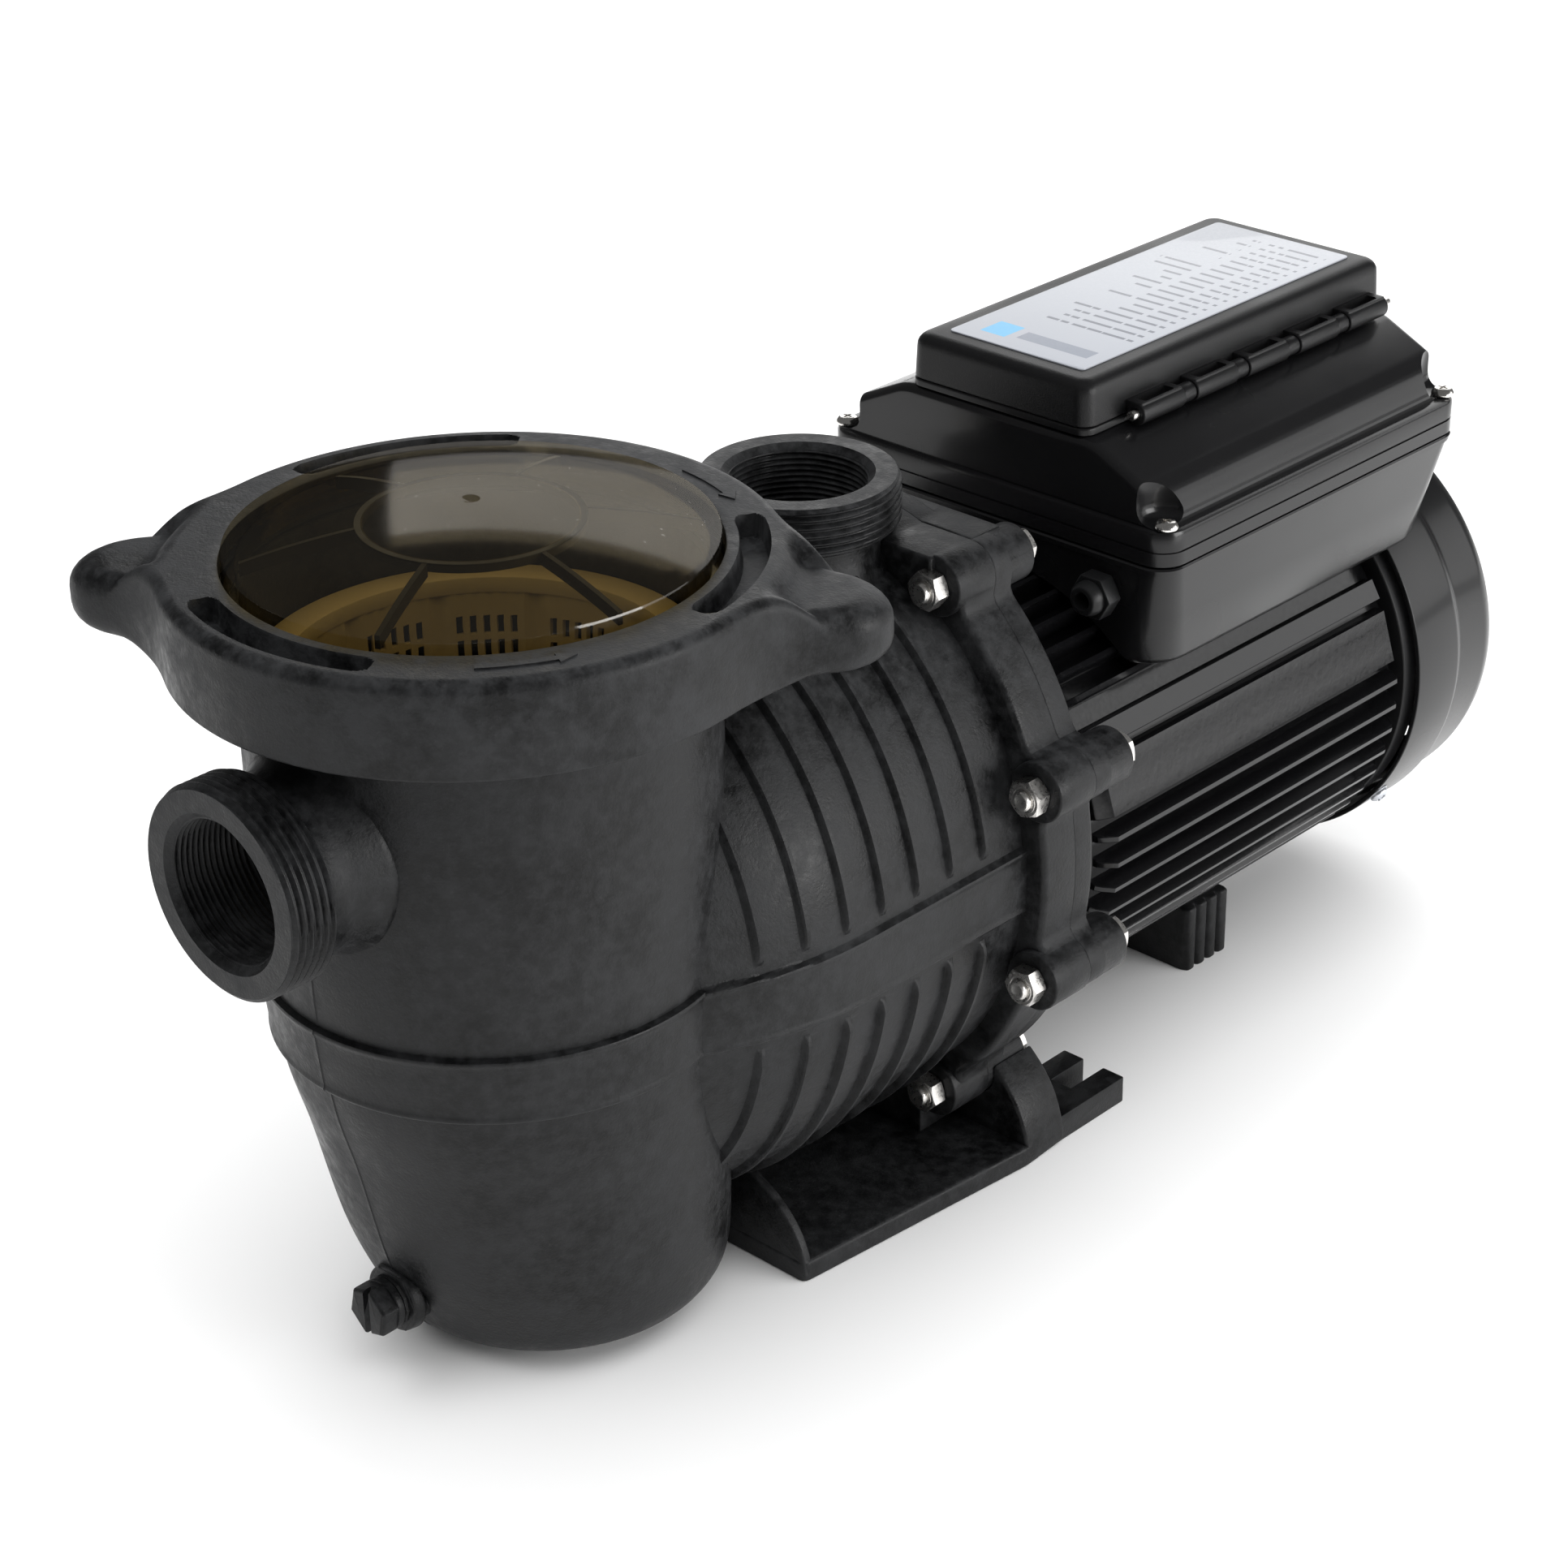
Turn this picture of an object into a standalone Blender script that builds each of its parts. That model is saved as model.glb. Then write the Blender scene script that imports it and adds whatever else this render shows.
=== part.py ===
"""Pool pump: strainer pot and volute in one moulding, finned motor, controller box on top.

Every dimension below is in millimetres; MM turns it into metres when a mesh is written.
X is across the pump, Y runs along the shaft from the suction port to the fan, Z is up.
The origin is on the floor, at the middle of the flat underside of the front foot.
"""
import math

import bmesh
import bpy
import numpy as np
from mathutils import Matrix, Vector

MM = 0.001
GAP = 0.3                      # clearance between pieces that touch
ROUND = 28                     # sides of a large round shape
SMALL = 12                     # sides of a small round shape

# ---- driving dimensions --------------------------------------------------------------
POT_Y = -140.0                 # axis of the strainer pot, measured from the foot's middle
SHAFT_Z = 122.0                # height of the motor shaft above the floor
BODY_Z = 136.5                 # middle of the volute, its belt and the bolted flange
PORT_R = 36.5                  # outer radius of both threaded ports
PORT_THREAD = 18.0             # length of the thread
PORT_NECK_R = 31.5
PORT_BORE_R = 24.0
SUCTION_Z = 212.3
SUCTION_FACE_Y = POT_Y - 112.4
DISCHARGE_Y = POT_Y + 152.0
DISCHARGE_TOP_Z = 272.2

POT_WALL = 4.5
POT_R = 79.0
POT_MOUTH_Z = 281.0
LEDGE_Z = 250.0                # the basket's rim hangs here
LEDGE_R = 70.0
MOUTH_R = 74.5
COLLAR_R = 85.0

RING_R = 102.0
RING_TOP_Z = 293.4
RING_BOTTOM_Z = 260.6
RING_WALL = 5.0
HANDLE_ANGLE = 34.5            # degrees from +X towards +Y
HANDLE_TIP_R = 136.0
HANDLE_TIP_ROUND = 17.0
HANDLE_BASE_HALF = 38.0
SLOT_INNER_R = 86.0
SLOT_OUTER_R = 95.0
SLOT_FIRST = 33.0
SLOT_SPAN = 50.0

WINDOW_R = 80.2
WINDOW_EDGE_Z = 297.5
WINDOW_TOP_Z = 310.0
WINDOW_WALL = 4.0
WINDOW_FLANGE_R = 84.5

BASKET_TOP_R = 66.0
BASKET_BOTTOM_R = 52.0
BASKET_BOTTOM_Z = 62.0
BASKET_WALL = 2.5

VOLUTE_HALF_X = 93.0
VOLUTE_HALF_Z = 111.0
VOLUTE_START_Y = POT_Y + 14.0
FLANGE_FRONT_Y = POT_Y + 167.0
JOINT_Y = POT_Y + 184.0        # face between housing and seal plate
PLATE_BACK_Y = POT_Y + 206.0
FLANGE_GROW = 11.0
CHAMBER_Y = POT_Y + 86.0
CHAMBER_WALL = 5.0
EYE_R = 26.0
BELT_HALF = 12.5
BELT_PROUD = 1.8

BOLT_R = 3.9
BOLT_HOLE_R = 4.3
BOSS_R = 11.5
BOLT_PLACES = [(100.0, 38.0), (53.0, 103.0), (-53.0, 103.0), (-100.0, 38.0),
               (-100.0, -38.0), (-53.0, -103.0), (53.0, -103.0), (100.0, -38.0)]
HEX_FLAT = 13.0
NUT_HIGH = 6.5
HEAD_HIGH = 5.5

FOOT_HALF_X = 70.5
FOOT_REAR_HALF_X = 81.5
FOOT_WIDEST_Y = POT_Y + 187.0
FOOT_FRONT_Y = POT_Y + 75.0
FOOT_BACK_Y = POT_Y + 207.0
FOOT_PLATE = 8.0
FRONT_WEB_HIGH = 37.0
REAR_WEB_HIGH = 46.0
WEB_FLAT_SHARE = 0.3
WEB_THICK = 8.0
TAB_END_Y = POT_Y + 247.0
TAB_OUT_X = 79.5
TAB_IN_X = 50.0
TAB_SLOT_X = (60.0, 69.5)
TAB_SLOT_Y = POT_Y + 227.0

DRAIN_Z = 30.0
DRAIN_BOSS_Y = POT_Y - 57.0
DRAIN_BOSS_R = 13.0
DRAIN_HOLE_R = 6.0

MOTOR_FRONT_Y = PLATE_BACK_Y + GAP
SHELL_FRONT_Y = POT_Y + 222.3
SHELL_BACK_Y = POT_Y + 416.0
SHELL_BORE_R = 71.0
SHELL_R = 78.0
FIN_TIP_R = 87.0
BELL_R = 83.0
BELL_BACK_Y = POT_Y + 428.0
COVER_FRONT_Y = POT_Y + 421.0
COVER_STEP_Y = POT_Y + 450.0
COVER_BACK_Y = POT_Y + 480.0
COVER_R = 89.5
COVER_SMALL_R = 86.5
COVER_WALL = 2.0
SHAFT_R = 10.0
ROTOR_R = 41.0
STATOR_BORE_R = 42.0

BOX_FRONT_Y = POT_Y + 256.5
BOX_BACK_Y = POT_Y + 446.0
BOX_HALF_X = 83.6
BOX_BOTTOM_Z = 177.0
BOX_SEAM_Z = 221.7
BOX_RIM_Z = 236.4
BOX_TOP_Z = 263.0
BOX_TOP_HALF_X = 45.0
BOX_SHOULDER_X = 72.0
BOX_SHOULDER_Z = 250.0
BOX_WALL = 3.0
BOX_CORNER = 9.0
SCREW_X = 78.0
GLAND_X = 55.0
GLAND_Z = 207.0
SCREW_FRONT_Y = POT_Y + 263.0
SCREW_BACK_Y = POT_Y + 439.5

PANEL_TOP_Z = 266.0
LID_HALF_X = 43.0
LID_FRONT_Y = POT_Y + 259.0
LID_BACK_Y = POT_Y + 446.0
LID_TOP_Z = 283.6
LID_WALL = 2.5
PIN_X = 47.8
PIN_Z = 267.2
PIN_R = 1.9
KNUCKLE_R = 4.4
KNUCKLE_COUNT = 5
KNUCKLE_FIRST_Y = POT_Y + 282.0
KNUCKLE_PITCH = 32.4
KNUCKLE_LONG = 25.0
KEY_COUNT = 4
KEY_R = 6.0
KEY_X = 20.0
KEY_FIRST_Y = POT_Y + 300.0
KEY_PITCH = 28.0

REAR_FOOT_Y = (POT_Y + 341.0, POT_Y + 369.0)
REAR_FOOT_HALF_X = 37.0
REAR_FOOT_HIGH = 29.0


# ---- small tools ---------------------------------------------------------------------
def clear_scene():
    """Empty the scene without closing the file."""
    for item in list(bpy.data.objects):
        bpy.data.objects.remove(item, do_unlink=True)


def make_material(name, colour, roughness, metallic=0.0, alpha=1.0):
    """One Principled material."""
    material = bpy.data.materials.new(name)
    material.use_nodes = True
    shader = material.node_tree.nodes["Principled BSDF"]
    shader.inputs["Base Color"].default_value = (*colour, 1.0)
    shader.inputs["Roughness"].default_value = roughness
    shader.inputs["Metallic"].default_value = metallic
    shader.inputs["Alpha"].default_value = alpha
    return material


def solid(name, points, faces):
    """A closed mesh object from points in millimetres, with its faces turned outwards."""
    mesh = bpy.data.meshes.new(name)
    mesh.from_pydata([tuple(MM * float(c) for c in p) for p in points], [], faces)
    work = bmesh.new()
    work.from_mesh(mesh)
    bmesh.ops.remove_doubles(work, verts=work.verts, dist=1e-7)
    bmesh.ops.recalc_face_normals(work, faces=work.faces)
    work.to_mesh(mesh)
    work.free()
    piece = bpy.data.objects.new(name, mesh)
    bpy.context.scene.collection.objects.link(piece)
    return piece


def loft(name, sections):
    """Closed solid through sections, each the same number of points, capped at both ends."""
    count = len(sections[0])
    points = [p for section in sections for p in section]
    faces = []
    for k in range(len(sections) - 1):
        for i in range(count):
            j = (i + 1) % count
            faces.append((k * count + i, k * count + j, (k + 1) * count + j, (k + 1) * count + i))
    faces.append(tuple(range(count)))
    last = (len(sections) - 1) * count
    faces.append(tuple(range(last, last + count)))
    return solid(name, points, faces)


def to_axis(axis, u, v, w):
    """Point with w along the axis and u, v across it."""
    if axis == "X":
        return (w, u, v)
    if axis == "Y":
        return (u, w, v)
    return (u, v, w)


def turned(name, profile, axis="Y", centre=(0.0, 0.0), sides=ROUND):
    """Solid of revolution: profile is a closed loop of (radius, height), radius 0 on the axis."""
    points = []
    rows = []
    for radius, height in profile:
        if radius < 1e-9:
            rows.append([len(points)])
            points.append(to_axis(axis, centre[0], centre[1], height))
            continue
        rows.append(list(range(len(points), len(points) + sides)))
        for i in range(sides):
            a = 2 * math.pi * i / sides
            points.append(to_axis(axis, centre[0] + radius * math.cos(a),
                                  centre[1] + radius * math.sin(a), height))
    faces = []
    for row, after in zip(rows, rows[1:] + rows[:1]):
        if len(row) == 1 and len(after) == 1:
            continue
        for i in range(sides):
            j = (i + 1) % sides
            if len(row) == 1:
                faces.append((row[0], after[j], after[i]))
            elif len(after) == 1:
                faces.append((row[i], row[j], after[0]))
            else:
                faces.append((row[i], row[j], after[j], after[i]))
    return solid(name, points, faces)


def rod(name, radius, start, end, axis="Y", centre=(0.0, 0.0), sides=SMALL):
    """Plain cylinder along an axis."""
    profile = [(0.0, start), (radius, start), (radius, end), (0.0, end)]
    return turned(name, profile, axis, centre, sides)


def tube(name, inner, outer, start, end, axis="Y", centre=(0.0, 0.0), sides=ROUND):
    """Plain ring along an axis."""
    profile = [(inner, start), (outer, start), (outer, end), (inner, end)]
    return turned(name, profile, axis, centre, sides)


def prism(name, outline, start, end, axis="Y"):
    """Flat outline carried straight along an axis."""
    sections = [[to_axis(axis, u, v, w) for u, v in outline] for w in (start, end)]
    return loft(name, sections)


def block(name, x, y, z):
    """Rectangular block from three (low, high) pairs."""
    outline = [(x[0], z[0]), (x[1], z[0]), (x[1], z[1]), (x[0], z[1])]
    return prism(name, outline, y[0], y[1])


def rounded_rectangle(x0, x1, y0, y1, corner, steps=3):
    """Outline of a rectangle with round corners."""
    outline = []
    centres = [(x1 - corner, y0 + corner, -90), (x1 - corner, y1 - corner, 0),
               (x0 + corner, y1 - corner, 90), (x0 + corner, y0 + corner, 180)]
    for cx, cy, first in centres:
        for k in range(steps + 1):
            a = math.radians(first + 90 * k / steps)
            outline.append((cx + corner * math.cos(a), cy + corner * math.sin(a)))
    return outline


def hexagon(flat):
    """Outline of a hexagon from its width across flats."""
    radius = flat / math.sqrt(3)
    return [(radius * math.cos(math.radians(60 * k)), radius * math.sin(math.radians(60 * k)))
            for k in range(6)]


def ellipse(half_x, half_z, y, sides=ROUND, z=BODY_Z):
    """Ellipse standing across the volute."""
    angles = np.linspace(0.0, 2 * math.pi, sides, endpoint=False)
    return [(half_x * math.cos(a), y, z + half_z * math.sin(a)) for a in angles]


def combine(piece, tools, operation, solver):
    """Boolean the tools into the piece one after another and keep the result as its mesh."""
    for tool in tools:
        tool.hide_render = True
        tool.display_type = "WIRE"
        modifier = piece.modifiers.new(operation.title(), "BOOLEAN")
        modifier.object = tool
        modifier.operation = operation
        modifier.solver = solver
    bpy.context.view_layer.update()
    result = bpy.data.meshes.new_from_object(piece.evaluated_get(bpy.context.evaluated_depsgraph_get()))
    piece.modifiers.clear()
    piece.data = result
    for tool in tools:
        bpy.data.objects.remove(tool, do_unlink=True)
    return piece


def join(piece, *tools, solver="EXACT"):
    """Union; MANIFOLD is for the pieces whose many crossing walls the exact solver leaves open."""
    return combine(piece, tools, "UNION", solver)


def cut(piece, *tools, solver="EXACT"):
    """Difference."""
    return combine(piece, tools, "DIFFERENCE", solver)


def finish(piece, name, material, origin=None, smooth=35.0):
    """Name the piece, give it its material and put its origin on its joint's axis."""
    piece.name = name
    piece.data.name = name
    piece.data.materials.clear()
    piece.data.materials.append(material)
    piece.data.shade_smooth()
    piece.data.set_sharp_from_angle(angle=math.radians(smooth))
    if origin is not None:
        place = MM * Vector(origin)
        piece.data.transform(Matrix.Translation(-place))
        piece.location = place
    return piece


# ---- the wet end ---------------------------------------------------------------------
def pot_section(z, radius, shift):
    """One level circle of the pot; the lower pot leans back by its shift."""
    angles = np.linspace(0.0, 2 * math.pi, ROUND, endpoint=False)
    return [(radius * math.cos(a), POT_Y + shift + radius * math.sin(a), z) for a in angles]


def pot_body(name, levels, inset, bottom, top):
    """Pot between two heights, inset by a wall."""
    sections = [pot_section(bottom, levels[0][1] - inset, levels[0][2])]
    sections += [pot_section(z, r - inset, s) for z, r, s in levels if bottom + 1 < z < top - 1]
    sections.append(pot_section(top, levels[-1][1] - inset, levels[-1][2]))
    return loft(name, sections)


def volute_body(name, inset, start, end):
    """Tall elliptical body that swells from the pot to the flange."""
    length = JOINT_Y - VOLUTE_START_Y
    sections = []
    for share in (0.0, 0.1, 0.24, 0.42, 1.0):
        y = VOLUTE_START_Y + share * length
        swell = 1.0 - 0.22 * max(0.0, 1.0 - share / 0.42) ** 2
        sections.append((y, VOLUTE_HALF_X * swell - inset, VOLUTE_HALF_Z * swell - inset))
    inside = [s for s in sections if start + 1 < s[0] < end - 1]
    ys = [s[0] for s in sections]
    ends = []
    for y in (start, end):
        ends.append((y, np.interp(y, ys, [s[1] for s in sections]),
                     np.interp(y, ys, [s[2] for s in sections])))
    return loft(name, [ellipse(a, b, y) for y, a, b in [ends[0], *inside, ends[1]]])


def volute_size(y):
    """Half width and half height of the volute at a place along the shaft."""
    share = (y - VOLUTE_START_Y) / (JOINT_Y - VOLUTE_START_Y)
    swell = 1.0 - 0.22 * max(0.0, 1.0 - share / 0.42) ** 2
    return VOLUTE_HALF_X * swell, VOLUTE_HALF_Z * swell


def flange_part(name, front, back, boss_front, boss_back):
    """Elliptical flange with a round boss at each bolt."""
    plate = loft(name, [ellipse(VOLUTE_HALF_X + FLANGE_GROW, VOLUTE_HALF_Z + FLANGE_GROW - 2, y)
                        for y in (front, back)])
    bosses = [rod("boss", BOSS_R, boss_front, boss_back, "Y", (x, BODY_Z + z), 12)
              for x, z in BOLT_PLACES]
    return join(plate, *bosses, solver="MANIFOLD")


def bolt_holes(start, end):
    """Cutters for all the flange bolts."""
    return [rod("hole", BOLT_HOLE_R, start, end, "Y", (x, BODY_Z + z), 8) for x, z in BOLT_PLACES]


def web_outline(half_x, high):
    """End web of the foot: upright at the floor, bulging in to the volute."""
    steps = 8
    flat = half_x * WEB_FLAT_SHARE
    side = []
    for k in range(steps + 1):
        a = math.radians(90 * k / steps)
        side.append((flat + (half_x - flat) * math.cos(a), FOOT_PLATE / 2 + high * math.sin(a)))
    return [(-x, z) for x, z in side[::-1]] + side


def foot_parts():
    """Shelf that widens to the back, two end webs and the four fingers of the slotted tabs."""
    side = [(FOOT_HALF_X, FOOT_FRONT_Y), (FOOT_REAR_HALF_X, FOOT_WIDEST_Y), (TAB_OUT_X, FOOT_BACK_Y)]
    outline = side + [(-x, y) for x, y in side[::-1]]
    parts = [prism("shelf", outline, 0.0, FOOT_PLATE, "Z")]
    parts.append(prism("web", web_outline(FOOT_HALF_X, FRONT_WEB_HIGH), FOOT_FRONT_Y + 0.5,
                       FOOT_FRONT_Y + 0.5 + WEB_THICK))
    parts.append(prism("web", web_outline(FOOT_REAR_HALF_X - 1.5, REAR_WEB_HIGH), FLANGE_FRONT_Y,
                       JOINT_Y - 0.4))
    for side in (-1, 1):
        x = sorted((side * TAB_IN_X, side * TAB_OUT_X))
        tab = block("tab", x, (FOOT_BACK_Y - 14.0, TAB_END_Y), (0, FOOT_PLATE + 2))
        slot_x = sorted(side * v for v in TAB_SLOT_X)
        slot = block("slot", slot_x, (TAB_SLOT_Y, TAB_END_Y + 5), (-5, FOOT_PLATE + 8))
        parts.append(cut(tab, slot))
    return parts


def pump_housing(black):
    """Pot, suction port, volute, discharge port, flange and foot in one moulding."""
    levels = [(6.0, 50.0, 18.0), (9.5, 58.0, 18.0), (22.0, 64.0, 17.0), (47.0, 69.0, 12.0),
              (87.0, 73.0, 7.0), (118.0, 77.0, 2.0), (160.0, POT_R, 0.0), (262.0, POT_R, 0.0)]
    body = pot_body("pump_housing", levels, 0.0, 6.0, 262.0)
    solids = [volute_body("volute", 0.0, VOLUTE_START_Y, FLANGE_FRONT_Y + 2)]
    solids.append(tube("collar", 60.0, COLLAR_R, 256.0, POT_MOUTH_Z, "Z", (0, POT_Y)))
    belt = pot_section(BODY_Z - BELT_HALF, POT_R + BELT_PROUD, 0.0)
    solids.append(loft("belt", [belt, pot_section(BODY_Z + BELT_HALF, POT_R + BELT_PROUD, 0.0)]))
    for side in (-1, 1):
        outer = []
        for y in np.linspace(POT_Y + 16, FLANGE_FRONT_Y + 1, 8):
            outer.append((side * (volute_size(y)[0] + BELT_PROUD), y))
        inner = [(side * 60.0, y) for _, y in outer[::-1]]
        solids.append(prism("belt_side", outer + inner, BODY_Z - BELT_HALF, BODY_Z + BELT_HALF, "Z"))
    thread_end = SUCTION_FACE_Y + PORT_THREAD
    solids.append(rod("suction", PORT_R, SUCTION_FACE_Y, thread_end, "Y", (0, SUCTION_Z), ROUND))
    solids.append(rod("neck", PORT_NECK_R, thread_end - 1, POT_Y - 66, "Y", (0, SUCTION_Z), ROUND))
    thread_low = DISCHARGE_TOP_Z - PORT_THREAD
    solids.append(rod("discharge", PORT_R, thread_low, DISCHARGE_TOP_Z, "Z", (0, DISCHARGE_Y), ROUND))
    solids.append(rod("neck", PORT_NECK_R, 200.0, thread_low + 1, "Z", (0, DISCHARGE_Y), ROUND))
    solids.append(rod("drain", DRAIN_BOSS_R, DRAIN_BOSS_Y, POT_Y - 34, "Y", (0, DRAIN_Z), SMALL))
    solids.append(flange_part("flange", FLANGE_FRONT_Y, JOINT_Y, FLANGE_FRONT_Y - 2.5, JOINT_Y))
    solids += foot_parts()
    join(body, *solids, solver="MANIFOLD")

    ledge = rod("ledge", LEDGE_R, 150.0, POT_MOUTH_Z + 5, "Z", (0, POT_Y), ROUND)
    mouth = rod("mouth", MOUTH_R + 1.0, LEDGE_Z, POT_MOUTH_Z + 5, "Z", (0, POT_Y), ROUND)
    pot_low = pot_body("cavity", levels, POT_WALL, 12.0, 232.0)
    chamber = volute_body("chamber", CHAMBER_WALL, CHAMBER_Y, JOINT_Y + 5)
    eye = rod("eye", EYE_R, POT_Y + 60, CHAMBER_Y + 3, "Y", (0, SHAFT_Z), 16)
    rebate = loft("rebate", [ellipse(VOLUTE_HALF_X - 1.0, VOLUTE_HALF_Z - 1.0, y)
                             for y in (JOINT_Y - 3.2, JOINT_Y + 5)])
    suction = rod("bore", PORT_BORE_R, SUCTION_FACE_Y - 5, POT_Y - 55, "Y", (0, SUCTION_Z), 16)
    discharge = rod("bore", PORT_BORE_R, 205.0, DISCHARGE_TOP_Z + 5, "Z", (0, DISCHARGE_Y), 16)
    drain = rod("bore", DRAIN_HOLE_R, DRAIN_BOSS_Y - 5, POT_Y - 30, "Y", (0, DRAIN_Z), 16)
    cut(body, pot_low, ledge, mouth, chamber, eye, rebate, suction, discharge, drain,
        *bolt_holes(FLANGE_FRONT_Y - 14, JOINT_Y + 5), solver="MANIFOLD")
    return finish(body, "pump_housing", black)


def lid_window(amber):
    """Domed window: flange under the ring, short barrel and shallow dome."""
    steps = 3
    radius = (WINDOW_R ** 2 + (WINDOW_TOP_Z - WINDOW_EDGE_Z) ** 2) / (2 * (WINDOW_TOP_Z - WINDOW_EDGE_Z))
    outer = []
    inner = []
    for k in range(steps + 1):
        r = WINDOW_R * k / steps
        drop = radius - math.sqrt(radius ** 2 - r ** 2)
        outer.append((r, WINDOW_TOP_Z - drop))
        inner.append((r * (WINDOW_R - WINDOW_WALL) / WINDOW_R, WINDOW_TOP_Z - WINDOW_WALL - drop))
    flange = POT_MOUTH_Z + 3.2
    profile = outer + [(WINDOW_R, flange + 3.4), (WINDOW_FLANGE_R, flange + 3.4),
                       (WINDOW_FLANGE_R, flange), (WINDOW_R - WINDOW_WALL, flange)]
    profile += inner[::-1]
    window = turned("window", profile, "Z", (0, POT_Y), ROUND)
    return finish(window, "lid_window", amber, (0, POT_Y, flange))


def lid_seal(rubber):
    """Seal ring between the pot's mouth and the window."""
    profile = [(80.0 + 2.2 * math.cos(a), POT_MOUTH_Z + 1.6 + 1.3 * math.sin(a))
               for a in np.linspace(0, 2 * math.pi, 5, endpoint=False)]
    ring = turned("seal", profile, "Z", (0, POT_Y), 28)
    return finish(ring, "lid_seal", rubber, (0, POT_Y, POT_MOUTH_Z))


def handle_outline():
    """Plan of both handles: wide roots that draw in to round tips."""
    tip = HANDLE_TIP_R - HANDLE_TIP_ROUND
    side = []
    for k in range(5):
        share = k / 4
        blend = share * share * (3 - 2 * share)
        side.append((88.0 + (tip - 88.0) * share,
                     HANDLE_BASE_HALF + (HANDLE_TIP_ROUND - HANDLE_BASE_HALF) * blend))
    arc = [(tip + HANDLE_TIP_ROUND * math.cos(a), HANDLE_TIP_ROUND * math.sin(a))
           for a in np.radians(np.linspace(70, -70, 6))]
    half = side + arc + [(x, -y) for x, y in side[::-1]]
    turn = math.radians(HANDLE_ANGLE)
    lobes = []
    for extra in (0.0, math.pi):
        c, s = math.cos(turn + extra), math.sin(turn + extra)
        lobes.append([(x * c - y * s, POT_Y + x * s + y * c) for x, y in half])
    return lobes


def lock_ring(black):
    """Ring with a deep skirt, three arc slots and two lobe handles."""
    profile = [(WINDOW_R + 0.6, RING_TOP_Z - 5.2), (RING_R - RING_WALL, RING_TOP_Z - 5.2),
               (RING_R - RING_WALL, RING_BOTTOM_Z), (RING_R, RING_BOTTOM_Z),
               (RING_R, RING_TOP_Z - 4.0), (RING_R - 1.2, RING_TOP_Z - 1.2),
               (RING_R - 4.0, RING_TOP_Z), (WINDOW_R + 0.6, RING_TOP_Z)]
    ring = turned("ring", profile, "Z", (0, POT_Y), ROUND)
    lobes = [prism("lobe", outline, RING_BOTTOM_Z + 1.5, RING_TOP_Z - 8.0, "Z")
             for outline in handle_outline()]
    join(ring, *lobes, solver="MANIFOLD")
    hollow = rod("hollow", RING_R - RING_WALL, RING_BOTTOM_Z - 5, RING_TOP_Z - 5.2, "Z", (0, POT_Y), ROUND)
    slots = []
    for k in range(3):
        middle = SLOT_FIRST + 120 * k
        angles = np.radians(np.linspace(middle - SLOT_SPAN / 2, middle + SLOT_SPAN / 2, 6))
        outer = [(SLOT_OUTER_R * math.cos(a), POT_Y + SLOT_OUTER_R * math.sin(a)) for a in angles]
        inner = [(SLOT_INNER_R * math.cos(a), POT_Y + SLOT_INNER_R * math.sin(a)) for a in angles[::-1]]
        slots.append(prism("slot", outer + inner, RING_TOP_Z - 9, RING_TOP_Z + 5, "Z"))
    cut(ring, hollow, *slots, solver="MANIFOLD")
    return finish(ring, "lock_ring", black, (0, POT_Y, RING_TOP_Z))


def strainer_basket(cream):
    """Basket that hangs by its rim in the pot, with a window towards the suction port."""
    slope = (BASKET_TOP_R - BASKET_BOTTOM_R) / (LEDGE_Z - BASKET_BOTTOM_Z)
    floor = BASKET_BOTTOM_Z + BASKET_WALL
    profile = [(0.0, BASKET_BOTTOM_Z), (BASKET_BOTTOM_R, BASKET_BOTTOM_Z),
               (BASKET_TOP_R, LEDGE_Z + GAP), (MOUTH_R + 0.5, LEDGE_Z + GAP),
               (MOUTH_R + 0.5, LEDGE_Z + 4), (BASKET_TOP_R - BASKET_WALL, LEDGE_Z + 4),
               (BASKET_BOTTOM_R - BASKET_WALL + slope * BASKET_WALL, floor), (0.0, floor)]
    basket = turned("basket", profile, "Z", (0, POT_Y), 28)
    inlet = rod("inlet", 22.0, POT_Y - 80, POT_Y, "Y", (0, SUCTION_Z), 24)
    cut(basket, inlet)
    return finish(basket, "strainer_basket", cream, (0, POT_Y, LEDGE_Z))


def drain_plug(black):
    """Slotted hexagon head, flange and plain shank."""
    head = prism("head", [(x, DRAIN_Z + z) for x, z in hexagon(17.0)], DRAIN_BOSS_Y - 11.5, DRAIN_BOSS_Y - 3)
    flange = rod("flange", 10.5, DRAIN_BOSS_Y - 3.6, DRAIN_BOSS_Y - 1.9, "Y", (0, DRAIN_Z))
    shank = rod("shank", DRAIN_HOLE_R - 0.4, DRAIN_BOSS_Y - 2.5, DRAIN_BOSS_Y + 10, "Y", (0, DRAIN_Z), 16)
    join(head, flange, shank, solver="MANIFOLD")
    cut(head, block("slot", (-12, 12), (DRAIN_BOSS_Y - 15, DRAIN_BOSS_Y - 7), (DRAIN_Z - 1.3, DRAIN_Z + 1.3)),
        solver="MANIFOLD")
    return finish(head, "drain_plug", black, (0, DRAIN_BOSS_Y, DRAIN_Z))


def drain_plug_seal(rubber):
    """Washer under the drain plug."""
    ring = tube("seal", DRAIN_HOLE_R + 0.3, 9.5, DRAIN_BOSS_Y - 1.6, DRAIN_BOSS_Y - GAP, "Y",
                (0, DRAIN_Z), SMALL)
    return finish(ring, "drain_plug_seal", rubber, (0, DRAIN_BOSS_Y, DRAIN_Z))


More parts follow.
